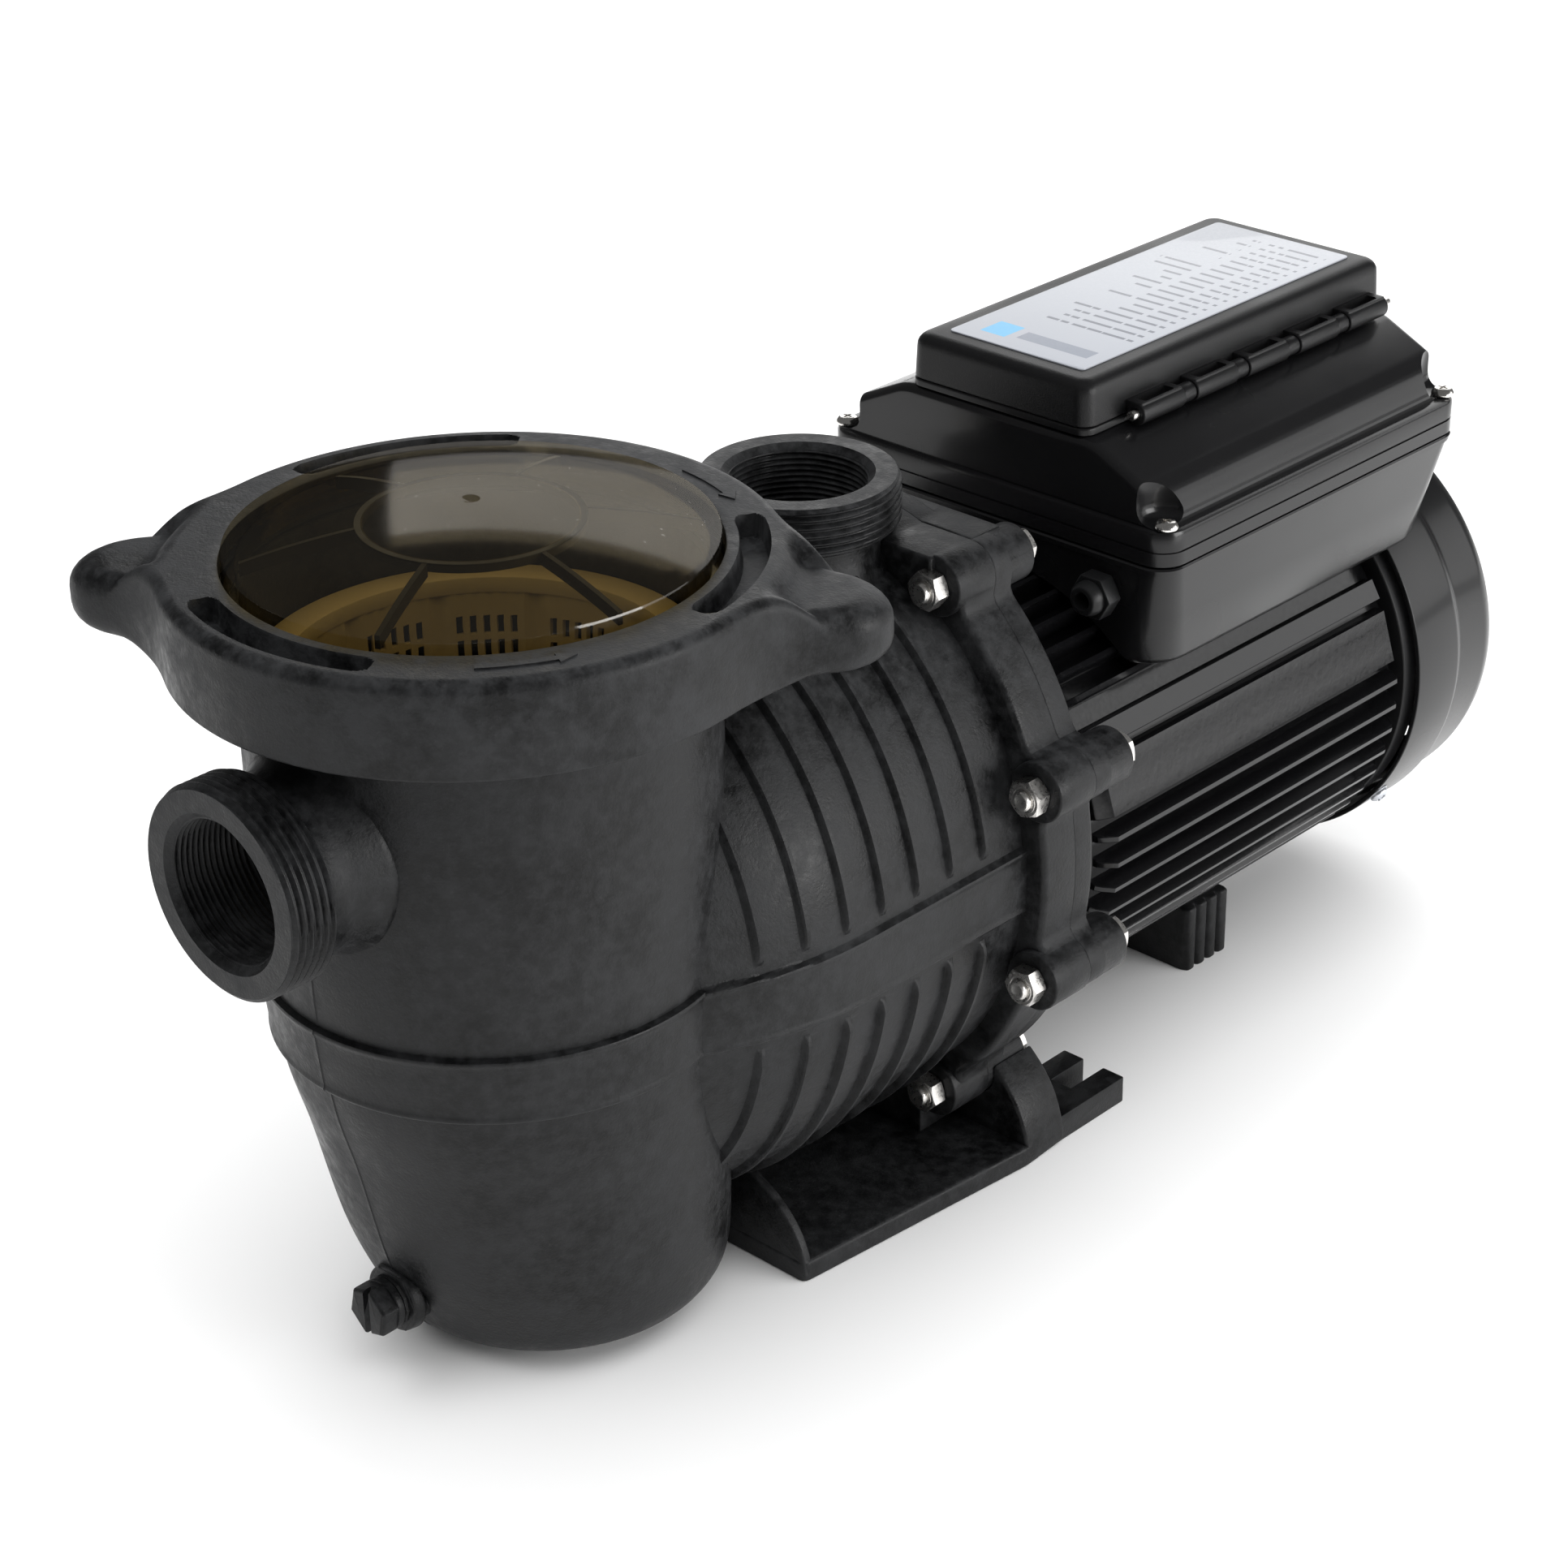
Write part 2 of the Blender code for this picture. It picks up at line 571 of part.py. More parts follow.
def seal_plate(black):
    """Rear half of the wet end: disc with bosses, and a hub that carries the shaft seal."""
    plate = flange_part("plate", JOINT_Y + GAP, JOINT_Y + 10, JOINT_Y + GAP, PLATE_BACK_Y)
    hub = rod("hub", 62.0, JOINT_Y + 5, PLATE_BACK_Y, "Y", (0, SHAFT_Z), ROUND)
    nose = rod("nose", 26.0, JOINT_Y - 5.5, JOINT_Y + 5, "Y", (0, SHAFT_Z), 16)
    join(plate, hub, nose, solver="MANIFOLD")
    pocket = rod("pocket", 18.0, JOINT_Y - 10, JOINT_Y + 6, "Y", (0, SHAFT_Z), 16)
    bore = rod("bore", SHAFT_R + 1.5, JOINT_Y, PLATE_BACK_Y + 5, "Y", (0, SHAFT_Z), 16)
    port_room = rod("room", PORT_R + 1.0, DISCHARGE_TOP_Z - PORT_THREAD - 4, DISCHARGE_TOP_Z, "Z",
                    (0, DISCHARGE_Y), ROUND)
    cut(plate, pocket, bore, port_room, *bolt_holes(JOINT_Y - 5, PLATE_BACK_Y + 5), solver="MANIFOLD")
    return finish(plate, "seal_plate", black)


def housing_seal(rubber):
    """Elliptical seal ring in the rebate of the chamber's mouth."""
    outer = [ellipse(VOLUTE_HALF_X - 1.4, VOLUTE_HALF_Z - 1.4, y) for y in (JOINT_Y - 2.9, JOINT_Y)]
    inner = [ellipse(VOLUTE_HALF_X - 4.4, VOLUTE_HALF_Z - 4.4, y) for y in (JOINT_Y - 6, JOINT_Y + 3)]
    ring = cut(loft("seal", outer), loft("inside", inner))
    return finish(ring, "housing_seal", rubber)


def diffuser(grey):
    """Nose in the pot's eye, front wall and drum round the impeller."""
    start = POT_Y + 84.0
    profile = [(20.5, start), (EYE_R - 1.0, start), (EYE_R - 1.0, start + 22), (46.0, start + 34),
               (76.0, start + 40), (76.0, JOINT_Y - 7), (73.0, JOINT_Y - 7), (73.0, start + 43.5),
               (45.0, start + 37.5), (20.5, start + 24)]
    shell = turned("diffuser", profile, "Y", (0, SHAFT_Z), 16)
    return finish(shell, "diffuser", grey)


def impeller(grey):
    """Closed impeller: two shrouds, six swept vanes and a hub bored for the shaft."""
    back = POT_Y + 154.0
    rear_shroud = [(SHAFT_R - 1.6, back - 22), (15.0, back - 22), (16.0, back - 6), (60.0, back - 3),
                   (60.0, back), (16.0, back), (16.0, back + 6), (SHAFT_R - 1.6, back + 6)]
    front_shroud = [(22.0, back - 25), (24.5, back - 25), (26.5, back - 16.5), (60.0, back - 13),
                    (60.0, back - 10.5), (24.0, back - 14)]
    body = turned("impeller", rear_shroud, "Y", (0, SHAFT_Z), 16)
    front = turned("shroud", front_shroud, "Y", (0, SHAFT_Z), 16)
    vanes = []
    for k in range(6):
        line = [(15.5 + 44.0 * s, math.radians(60 * k - 70 * s)) for s in np.linspace(0, 1, 4)]
        left = [(r * math.cos(a), SHAFT_Z + r * math.sin(a)) for r, a in line]
        right = [(r * math.cos(a + 1.8 / r), SHAFT_Z + r * math.sin(a + 1.8 / r)) for r, a in line[::-1]]
        vanes.append(prism("vane", left + right, back - 12.5, back - 2))
    join(body, front, *vanes)
    return finish(body, "impeller", grey, (0, back, SHAFT_Z))


def shaft_seal_seat(ceramic):
    """Fixed ring of the shaft seal, in the pocket of the seal plate."""
    ring = tube("seat", SHAFT_R + 1.5, 17.7, JOINT_Y - 1.0, JOINT_Y + 6 - GAP, "Y", (0, SHAFT_Z), 16)
    return finish(ring, "shaft_seal_seat", ceramic)


def shaft_seal_head(steel):
    """Turning half of the shaft seal, with its stepped spring cup."""
    profile = [(SHAFT_R - 1.6, POT_Y + 160.4), (15.0, POT_Y + 160.4), (15.0, POT_Y + 166),
               (16.5, POT_Y + 166), (16.5, JOINT_Y - 3.2), (13.5, JOINT_Y - 3.2),
               (13.5, JOINT_Y - 1.3), (SHAFT_R - 1.6, JOINT_Y - 1.3)]
    ring = turned("head", profile, "Y", (0, SHAFT_Z), 16)
    return finish(ring, "shaft_seal_head", steel, (0, JOINT_Y, SHAFT_Z))


# ---- the motor -----------------------------------------------------------------------
def motor_shaft(steel):
    """Stepped shaft from the impeller to the fan."""
    nose_r = SHAFT_R - 1.9
    profile = [(0.0, POT_Y + 134), (nose_r, POT_Y + 134), (nose_r, JOINT_Y - 0.9), (SHAFT_R, JOINT_Y - 0.9),
               (SHAFT_R, POT_Y + 226), (12.0, POT_Y + 226), (12.0, POT_Y + 400), (SHAFT_R, POT_Y + 400),
               (SHAFT_R, POT_Y + 430), (7.0, POT_Y + 430), (7.0, POT_Y + 454), (0.0, POT_Y + 454)]
    shaft = turned("shaft", profile, "Y", (0, SHAFT_Z), 16)
    return finish(shaft, "motor_shaft", steel, (0, POT_Y + 300, SHAFT_Z))


def rotor_core(steel):
    """Laminated rotor on the shaft."""
    core = tube("core", 12.0 + GAP, ROTOR_R, POT_Y + 252, POT_Y + 358, "Y", (0, SHAFT_Z), 16)
    return finish(core, "rotor_core", steel, (0, POT_Y + 300, SHAFT_Z))


def stator_core(steel):
    """Laminated stator with the end turns of its winding."""
    profile = [(STATOR_BORE_R, POT_Y + 254), (46.0, POT_Y + 254), (46.0, POT_Y + 240), (64.0, POT_Y + 240),
               (64.0, POT_Y + 254), (SHELL_BORE_R - 1.2, POT_Y + 254), (SHELL_BORE_R - 1.2, POT_Y + 356),
               (64.0, POT_Y + 356), (64.0, POT_Y + 370), (46.0, POT_Y + 370), (46.0, POT_Y + 356),
               (STATOR_BORE_R, POT_Y + 356)]
    core = turned("core", profile, "Y", (0, SHAFT_Z), 16)
    return finish(core, "stator_core", steel)


def bearing(name, middle_y, steel):
    """Ball bearing as one ring with its two grooved sides."""
    half = 7.0
    inner = SHAFT_R + GAP
    profile = [(inner, middle_y - half), (14.0, middle_y - half), (14.5, middle_y - half + 1),
               (19.5, middle_y - half + 1), (20.0, middle_y - half), (23.5, middle_y - half),
               (23.5, middle_y + half), (inner, middle_y + half)]
    return finish(turned(name, profile, "Y", (0, SHAFT_Z), 16), name, steel)


def front_end_bell(black):
    """Front cover of the motor with the pocket of the front bearing."""
    profile = [(SHAFT_R + 1.5, MOTOR_FRONT_Y), (62.0, MOTOR_FRONT_Y), (BELL_R, MOTOR_FRONT_Y + 5),
               (BELL_R, SHELL_FRONT_Y - GAP), (23.8, SHELL_FRONT_Y - GAP), (23.8, POT_Y + 208.6),
               (SHAFT_R + 1.5, POT_Y + 208.6)]
    return finish(turned("bell", profile, "Y", (0, SHAFT_Z), ROUND), "front_end_bell", black)


def rear_end_bell(black):
    """Rear cover of the motor with the pocket of the rear bearing."""
    front = SHELL_BACK_Y + GAP
    profile = [(23.8, POT_Y + 404), (30.0, POT_Y + 404), (30.0, front), (BELL_R + 2, front),
               (BELL_R + 2, BELL_BACK_Y - 2), (BELL_R, BELL_BACK_Y), (SHAFT_R + 1.5, BELL_BACK_Y),
               (SHAFT_R + 1.5, POT_Y + 420), (23.8, POT_Y + 420)]
    return finish(turned("bell", profile, "Y", (0, SHAFT_Z), ROUND), "rear_end_bell", black)


def shell_outline():
    """Motor section: plain under the box, two flat-topped pads, then fins round the bottom."""
    outline = []
    step = 2.5
    angle = 0.0
    while angle < 360.0 - 1e-6:
        side = angle if angle <= 270 else angle - 360
        low = min(abs(side - 90), 180)
        turn = math.radians(angle)
        pads = 54 < low < 61 or 64 < low < 80
        fins = low >= 85 and int(round((low - 85) / step)) % 3 == 0
        radius = FIN_TIP_R - 1.5 if pads else FIN_TIP_R if fins else SHELL_R
        outline.append((radius, turn))
        angle += step
    points = []
    for k, (radius, turn) in enumerate(outline):
        before = outline[k - 1][0]
        after = outline[(k + 1) % len(outline)][0]
        half = math.radians(step * 0.5)
        if radius > SHELL_R:
            if before <= SHELL_R:
                points.append((SHELL_R, turn - half))
                points.append((radius, turn - half * 0.7))
            if after <= SHELL_R:
                points.append((radius, turn + half * 0.7))
                points.append((SHELL_R, turn + half))
        elif before <= SHELL_R and after <= SHELL_R:
            points.append((SHELL_R, turn))
    return [(r * math.cos(t), SHAFT_Z + r * math.sin(t)) for r, t in points]


def motor_shell(gloss):
    """Finned aluminium barrel."""
    barrel = prism("barrel", shell_outline(), SHELL_FRONT_Y, SHELL_BACK_Y)
    bore = rod("bore", SHELL_BORE_R, SHELL_FRONT_Y - 5, SHELL_BACK_Y + 5, "Y", (0, SHAFT_Z), ROUND)
    for y0, y1 in ((SHELL_FRONT_Y - 1, SHELL_FRONT_Y + 4), (SHELL_BACK_Y - 4, SHELL_BACK_Y + 1)):
        band = tube("band", SHELL_R + 1.5, FIN_TIP_R + 5, y0, y1, "Y", (0, SHAFT_Z))
        cut(barrel, band)
    cut(barrel, bore)
    return finish(barrel, "motor_shell", gloss)


def cooling_fan(grey):
    """Fan with seven flat blades behind the rear cover."""
    front = POT_Y + 433.0
    hub = tube("hub", 7.0 + GAP, 16.0, front, front + 18, "Y", (0, SHAFT_Z), 16)
    disc = tube("disc", 12.0, 68.0, front + 0.8, front + 3.0, "Y", (0, SHAFT_Z), 16)
    blades = []
    for k in range(7):
        turn = 2 * math.pi * (k + 0.3) / 7
        c, s = math.cos(turn), math.sin(turn)
        corners = [(14.0, -1.1), (66.0, -1.1), (66.0, 1.1), (14.0, 1.1)]
        outline = [(x * c - y * s, SHAFT_Z + x * s + y * c) for x, y in corners]
        blades.append(prism("blade", outline, front + 2.0, front + 17))
    join(hub, disc, *blades, solver="MANIFOLD")
    return finish(hub, "cooling_fan", grey, (0, front, SHAFT_Z))


FAN_SCREW_ANGLES = (-38.0, 160.0, 218.0)


def fan_cover(satin):
    """Stepped cup with two rings of arc slots in its rear wall."""
    profile = [(0.0, COVER_BACK_Y - COVER_WALL), (COVER_SMALL_R - 5, COVER_BACK_Y - COVER_WALL),
               (COVER_SMALL_R - COVER_WALL, COVER_BACK_Y - 6), (COVER_SMALL_R - COVER_WALL, COVER_STEP_Y + 2),
               (COVER_R - COVER_WALL, COVER_STEP_Y), (COVER_R - COVER_WALL, COVER_FRONT_Y),
               (COVER_R, COVER_FRONT_Y), (COVER_R, COVER_STEP_Y), (COVER_SMALL_R, COVER_STEP_Y + 2.5),
               (COVER_SMALL_R, COVER_BACK_Y - 5), (COVER_SMALL_R - 5, COVER_BACK_Y), (0.0, COVER_BACK_Y)]
    cover = turned("cover", profile, "Y", (0, SHAFT_Z), ROUND)
    slots = []
    for inner, outer, count in ((30.0, 42.0, 4), (52.0, 64.0, 4)):
        span = 2 * math.pi / count
        for k in range(count):
            angles = [span * k + span * 0.8 * s for s in (0, 0.5, 1)]
            ring = [(outer * math.cos(a), SHAFT_Z + outer * math.sin(a)) for a in angles]
            ring += [(inner * math.cos(a), SHAFT_Z + inner * math.sin(a)) for a in angles[::-1]]
            slots.append(prism("slot", ring, COVER_BACK_Y - 8, COVER_BACK_Y + 5))
    holes = [radial_rod("hole", 2.3, COVER_R - 8, COVER_R + 5, angle, 8) for angle in FAN_SCREW_ANGLES]
    cut(cover, *slots, *holes, solver="MANIFOLD")
    return finish(cover, "fan_cover", satin)


def radial_rod(name, radius, inner, outer, angle, sides):
    """Short cylinder that stands out from the shaft's axis, at the fan cover's front edge."""
    piece = rod(name, radius, inner, outer, "X", (0, 0), sides)
    turn = Matrix.Rotation(math.radians(-angle), 4, "Y")
    place = Matrix.Translation(MM * Vector((0, COVER_FRONT_Y + 4.0, SHAFT_Z)))
    piece.data.transform(place @ turn)
    return piece


def fan_cover_screw(index, zinc):
    """Small round-headed screw through the fan cover."""
    angle = FAN_SCREW_ANGLES[index]
    shank = radial_rod("shank", 1.9, COVER_R - COVER_WALL - 1.2, COVER_R + 1, angle, 8)
    head = radial_rod("head", 4.2, COVER_R + GAP, COVER_R + 3.2, angle, 10)
    join(shank, head)
    return finish(shank, f"fan_cover_screw_{index + 1}", zinc)


def rear_foot(black):
    """Block with ribbed ends on a saddle that follows the underside of the motor."""
    y0, y1 = REAR_FOOT_Y
    base = block("base", (-REAR_FOOT_HALF_X, REAR_FOOT_HALF_X), (y0, y1), (0, REAR_FOOT_HIGH))
    saddle_outline = [(-30, 16), (30, 16), (42, 56), (-42, 56)]
    saddle = prism("saddle", saddle_outline, y0 + 4, y1 - 4)
    join(base, saddle)
    grooves = []
    for k in range(3):
        y = y0 + 5 + 7.5 * k
        for side in (-1, 1):
            x = sorted((side * (REAR_FOOT_HALF_X - 2), side * (REAR_FOOT_HALF_X + 5)))
            grooves.append(block("groove", x, (y, y + 3), (-5, REAR_FOOT_HIGH + 5)))
    barrel = rod("barrel", FIN_TIP_R + GAP, y0 - 10, y1 + 10, "Y", (0, SHAFT_Z), 48)
    cut(base, barrel, *grooves)
    return finish(base, "rear_foot", black)


# ---- the controller ------------------------------------------------------------------
def box_section(half_x, front, back, corner, z):
    """Level outline of the controller box."""
    return [(x, y, z) for x, y in rounded_rectangle(-half_x, half_x, front, back, corner)]


def controller_base(satin):
    """Tapered tray that sits astride the motor."""
    tray = loft("tray", [box_section(75.5, BOX_FRONT_Y + 4.5, BOX_BACK_Y - 7, 14, BOX_BOTTOM_Z),
                         box_section(BOX_HALF_X, BOX_FRONT_Y, BOX_BACK_Y, BOX_CORNER, BOX_SEAM_Z)])
    saddle = rod("saddle", SHELL_R + GAP + 1.0, BOX_FRONT_Y - 10, BOX_BACK_Y + 10, "Y", (0, SHAFT_Z), 48)
    cover_room = rod("room", COVER_R + 1.0, SHELL_BACK_Y - 6, BOX_BACK_Y + 10, "Y", (0, SHAFT_Z), 48)
    pocket_outline = rounded_rectangle(-BOX_HALF_X + 9, BOX_HALF_X - 9, BOX_FRONT_Y + 9, SHELL_BACK_Y - 9, 6)
    pocket = prism("pocket", pocket_outline, SHAFT_Z + SHELL_R + 4.5, BOX_SEAM_Z + 5, "Z")
    holes = [rod("hole", 2.4, BOX_SEAM_Z - 14, BOX_SEAM_Z + 5, "Z", place, 8) for place in screw_places()]
    gland = rod("hole", 6.3, BOX_FRONT_Y - 5, BOX_FRONT_Y + 14, "Y", (GLAND_X, GLAND_Z), 16)
    cut(tray, saddle, cover_room, pocket, gland, *holes, solver="MANIFOLD")
    return finish(tray, "controller_base", satin)


def screw_places():
    """Corner screws of the controller cover."""
    return [(x, y) for y in (SCREW_FRONT_Y, SCREW_BACK_Y) for x in (SCREW_X, -SCREW_X)]


def controller_gasket(rubber):
    """Flat frame between tray and cover."""
    outer = rounded_rectangle(-BOX_HALF_X + 4, BOX_HALF_X - 4, BOX_FRONT_Y + 4, BOX_BACK_Y - 4, 6)
    inner = rounded_rectangle(-BOX_HALF_X + 8.5, BOX_HALF_X - 8.5, BOX_FRONT_Y + 8.5, BOX_BACK_Y - 8.5, 4)
    frame = prism("frame", outer, BOX_SEAM_Z + GAP, BOX_SEAM_Z + 1.7, "Z")
    holes = [rod("hole", 2.6, BOX_SEAM_Z - 5, BOX_SEAM_Z + 8, "Z", place, 8) for place in screw_places()]
    cut(frame, prism("inside", inner, BOX_SEAM_Z - 5, BOX_SEAM_Z + 5, "Z"), *holes)
    return finish(frame, "controller_gasket", rubber)


def controller_cover(satin):
    """Cover with a straight rim, sloping sides and scooped corners for its screws."""
    bottom = BOX_SEAM_Z + GAP
    rim = loft("rim", [box_section(BOX_HALF_X, BOX_FRONT_Y, BOX_BACK_Y, BOX_CORNER, bottom),
                       box_section(BOX_HALF_X, BOX_FRONT_Y, BOX_BACK_Y, BOX_CORNER, BOX_RIM_Z)])
    half = BOX_HALF_X - 5.0
    roof_outline = [(-half, BOX_RIM_Z - 3), (half, BOX_RIM_Z - 3), (BOX_SHOULDER_X, BOX_SHOULDER_Z),
                    (BOX_TOP_HALF_X, BOX_TOP_Z), (-BOX_TOP_HALF_X, BOX_TOP_Z),
                    (-BOX_SHOULDER_X, BOX_SHOULDER_Z)]
    roof = prism("roof", roof_outline, BOX_FRONT_Y + 2.0, BOX_BACK_Y - 2.0)
    join(rim, roof)
    inside = [(-half + 5, BOX_RIM_Z - 30), (half - 5, BOX_RIM_Z - 30), (half - 5, BOX_RIM_Z - 3),
              (BOX_SHOULDER_X - 4, BOX_SHOULDER_Z - 3), (BOX_TOP_HALF_X - 2, BOX_TOP_Z - BOX_WALL),
              (-BOX_TOP_HALF_X + 2, BOX_TOP_Z - BOX_WALL), (-BOX_SHOULDER_X + 4, BOX_SHOULDER_Z - 3),
              (-half + 5, BOX_RIM_Z - 3)]
    hollow = prism("hollow", inside, BOX_FRONT_Y + 13, BOX_BACK_Y - 13)
    groove = prism("groove", rounded_rectangle(-BOX_HALF_X + 3.6, BOX_HALF_X - 3.6, BOX_FRONT_Y + 3.6,
                                               BOX_BACK_Y - 3.6, 6.5), BOX_SEAM_Z - 5, BOX_SEAM_Z + 2.0, "Z")
    scoops = [rod("scoop", 8.0, BOX_RIM_Z, BOX_TOP_Z + 5, "Z", place, 12) for place in screw_places()]
    holes = [rod("hole", 2.4, BOX_SEAM_Z - 5, BOX_TOP_Z, "Z", place, 8) for place in screw_places()]
    opening = prism("opening", rounded_rectangle(-36, 36, BOX_FRONT_Y + 24, BOX_BACK_Y - 24, 5),
                    BOX_RIM_Z, BOX_TOP_Z + 5, "Z")
    cut(rim, hollow, groove, opening, *scoops, *holes)
    return finish(rim, "controller_cover", satin)


def cover_screw(index, steel):
    """Pan-headed screw with a cross recess in the corner of the controller cover."""
    x, y = screw_places()[index]
    profile = [(0.0, BOX_SEAM_Z - 11), (2.0, BOX_SEAM_Z - 11), (2.0, BOX_RIM_Z + GAP), (4.6, BOX_RIM_Z + GAP),
               (4.6, BOX_RIM_Z + 2.0), (3.4, BOX_RIM_Z + 3.2), (0.0, BOX_RIM_Z + 3.6)]
    screw = turned("screw", profile, "Z", (x, y), 12)
    bars = [block("bar", (x - a, x + a), (y - b, y + b), (BOX_RIM_Z + 1.8, BOX_RIM_Z + 8))
            for a, b in ((2.2, 0.5), (0.5, 2.2))]
    cut(screw, join(*bars))
    return finish(screw, f"cover_screw_{index + 1}", steel)


def key_places():
    """Centres of the keys on the panel."""
    return [(KEY_X, KEY_FIRST_Y + KEY_PITCH * k) for k in range(KEY_COUNT)]


def knuckle_spans(lid):
    """Stretches along the hinge pin: long knuckles on the lid, short ones between on the panel."""
    spans = []
    if lid:
        for k in range(KNUCKLE_COUNT):
            start = KNUCKLE_FIRST_Y + KNUCKLE_PITCH * k
            spans.append((start, start + KNUCKLE_LONG))
    else:
        for k in range(KNUCKLE_COUNT - 1):
            start = KNUCKLE_FIRST_Y + KNUCKLE_PITCH * k + KNUCKLE_LONG
            spans.append((start + 0.4, start + KNUCKLE_PITCH - KNUCKLE_LONG - 0.4))
    return spans


def keypad_panel(satin):
    """Panel under the lid, with key holes, a display window recess and the fixed knuckles."""
    low = BOX_TOP_Z + GAP
    panel = prism("panel", rounded_rectangle(-LID_HALF_X, LID_HALF_X, LID_FRONT_Y, LID_BACK_Y, 5), low,
                  PANEL_TOP_Z, "Z")
    extras = []
    for y0, y1 in knuckle_spans(False):
        extras.append(rod("knuckle", KNUCKLE_R - 0.6, y0, y1, "Y", (PIN_X, PIN_Z), 10))
        extras.append(block("web", (LID_HALF_X - 3, PIN_X), (y0, y1), (low, PIN_Z - 1.0)))
    join(panel, *extras)
    bore = rod("bore", PIN_R + GAP, KNUCKLE_FIRST_Y - 20, LID_BACK_Y + 20, "Y", (PIN_X, PIN_Z), 10)
    holes = [rod("hole", KEY_R + 0.4, low - 5, PANEL_TOP_Z + 5, "Z", place, 12) for place in key_places()]
    display = block("display", (-32, 2), (POT_Y + 300, POT_Y + 384), (PANEL_TOP_Z - 1.2, PANEL_TOP_Z + 5))
    cut(panel, bore, display, *holes)
    return finish(panel, "keypad_panel", satin)


def key(index, grey):
    """Round key with a flange that stops it under the panel."""
    x, y = key_places()[index]
    stem = BOX_TOP_Z - 3.5
    profile = [(0.0, stem), (KEY_R + 2.0, stem), (KEY_R + 2.0, stem + 2.2), (KEY_R, stem + 2.2),
               (KEY_R, PANEL_TOP_Z + 1.4), (KEY_R - 0.8, PANEL_TOP_Z + 2.0), (0.0, PANEL_TOP_Z + 2.0)]
    return finish(turned("key", profile, "Z", (x, y), SMALL), f"key_{index + 1}", grey, (x, y, PANEL_TOP_Z))


def control_lid(satin):
    """Hinged lid: shallow box with rounded top edges and five long knuckles."""
    low = PANEL_TOP_Z + GAP
    outline = []
    for z, inset in ((low, 0.0), (LID_TOP_Z - 5, 0.5), (LID_TOP_Z - 1.6, 2.0), (LID_TOP_Z, 5.5)):
        outline.append([(x, y, z) for x, y in rounded_rectangle(-LID_HALF_X + inset, LID_HALF_X - inset,
                                                                LID_FRONT_Y + inset, LID_BACK_Y - inset, 6)])
    lid = loft("lid", outline)
    extras = []
    for y0, y1 in knuckle_spans(True):
        extras.append(rod("knuckle", KNUCKLE_R, y0, y1, "Y", (PIN_X, PIN_Z), 10))
        extras.append(block("web", (LID_HALF_X - 2, PIN_X), (y0, y1), (PIN_Z + 0.6, PIN_Z + KNUCKLE_R - 0.4)))
    hollow = prism("hollow", rounded_rectangle(-LID_HALF_X + LID_WALL, LID_HALF_X - LID_WALL,
                                               LID_FRONT_Y + LID_WALL, LID_BACK_Y - LID_WALL, 4),
                   low - 5, LID_TOP_Z - LID_WALL, "Z")
    cut(lid, hollow)
    join(lid, *extras, solver="MANIFOLD")
    relief = []
    for y0, y1 in knuckle_spans(False):
        relief.append(rod("relief", KNUCKLE_R + 0.2, y0 - 0.4, y1 + 0.4, "Y", (PIN_X, PIN_Z), 10))
    bore = rod("bore", PIN_R + GAP, KNUCKLE_FIRST_Y - 20, LID_BACK_Y + 20, "Y", (PIN_X, PIN_Z), 10)
    under = block("under", (LID_HALF_X - 9, LID_HALF_X + 1.2), (LID_FRONT_Y - 5, LID_BACK_Y + 5),
                  (low - 10, low))
    cut(lid, bore, under, *relief, solver="MANIFOLD")
    return finish(lid, "control_lid", satin, (PIN_X, POT_Y + 352, PIN_Z))


def hinge_pin(steel):
    """Pin through all the knuckles."""
    pin = rod("pin", PIN_R, KNUCKLE_FIRST_Y - 3, KNUCKLE_FIRST_Y + KNUCKLE_PITCH * 4 + KNUCKLE_LONG + 2, "Y",
              (PIN_X, PIN_Z), 12)
    return finish(pin, "hinge_pin", steel, (PIN_X, POT_Y + 352, PIN_Z))


def rating_label(white):
    """Thin plate on the lid."""
    plate = prism("plate", rounded_rectangle(-32.3, 32.3, POT_Y + 269.7, POT_Y + 436.5, 2),
                  LID_TOP_Z + 0.2, LID_TOP_Z + 0.6, "Z")
    return finish(plate, "rating_label", white, (PIN_X, POT_Y + 352, PIN_Z))


def circuit_board(green):
    """Board with a heat sink, capacitors and a transformer."""
    z = 242.0
    board = block("board", (-58, 58), (POT_Y + 276, POT_Y + 426), (z - 1.6, z))
    parts = [block("sink", (-50, -34), (POT_Y + 290, POT_Y + 400), (z - 0.5, z + 7)),
             block("coil", (-20, 2), (POT_Y + 292, POT_Y + 318), (z - 0.5, z + 12)),
             block("chip", (-16, 4), (POT_Y + 350, POT_Y + 370), (z - 0.5, z + 3)),
             block("terminal", (36, 48), (POT_Y + 330, POT_Y + 396), (z - 0.5, z + 9))]
    for k in range(3):
        parts.append(rod("capacitor", 7.0, z - 0.5, z + 13, "Z", (24, POT_Y + 300 + 18 * k), 16))
    join(board, *parts)
    return finish(board, "circuit_board", green)


def cable_gland(grey):
    """Hexagonal gland in the front wall of the tray, with a hole for the lead."""
    front = BOX_FRONT_Y + 1.2
    hexa = prism("hexagon", [(GLAND_X + x, GLAND_Z + z) for x, z in hexagon(16.0)], front - 9, front - 2)
    nose = rod("nose", 6.8, front - 14, front - 8, "Y", (GLAND_X, GLAND_Z), 16)
    shank = rod("shank", 6.0, front - 3, front + 8, "Y", (GLAND_X, GLAND_Z), 16)
    join(hexa, nose, shank)
    cut(hexa, rod("bore", 3.6, front - 20, front + 20, "Y", (GLAND_X, GLAND_Z), 16))
    return finish(hexa, "cable_gland", grey)


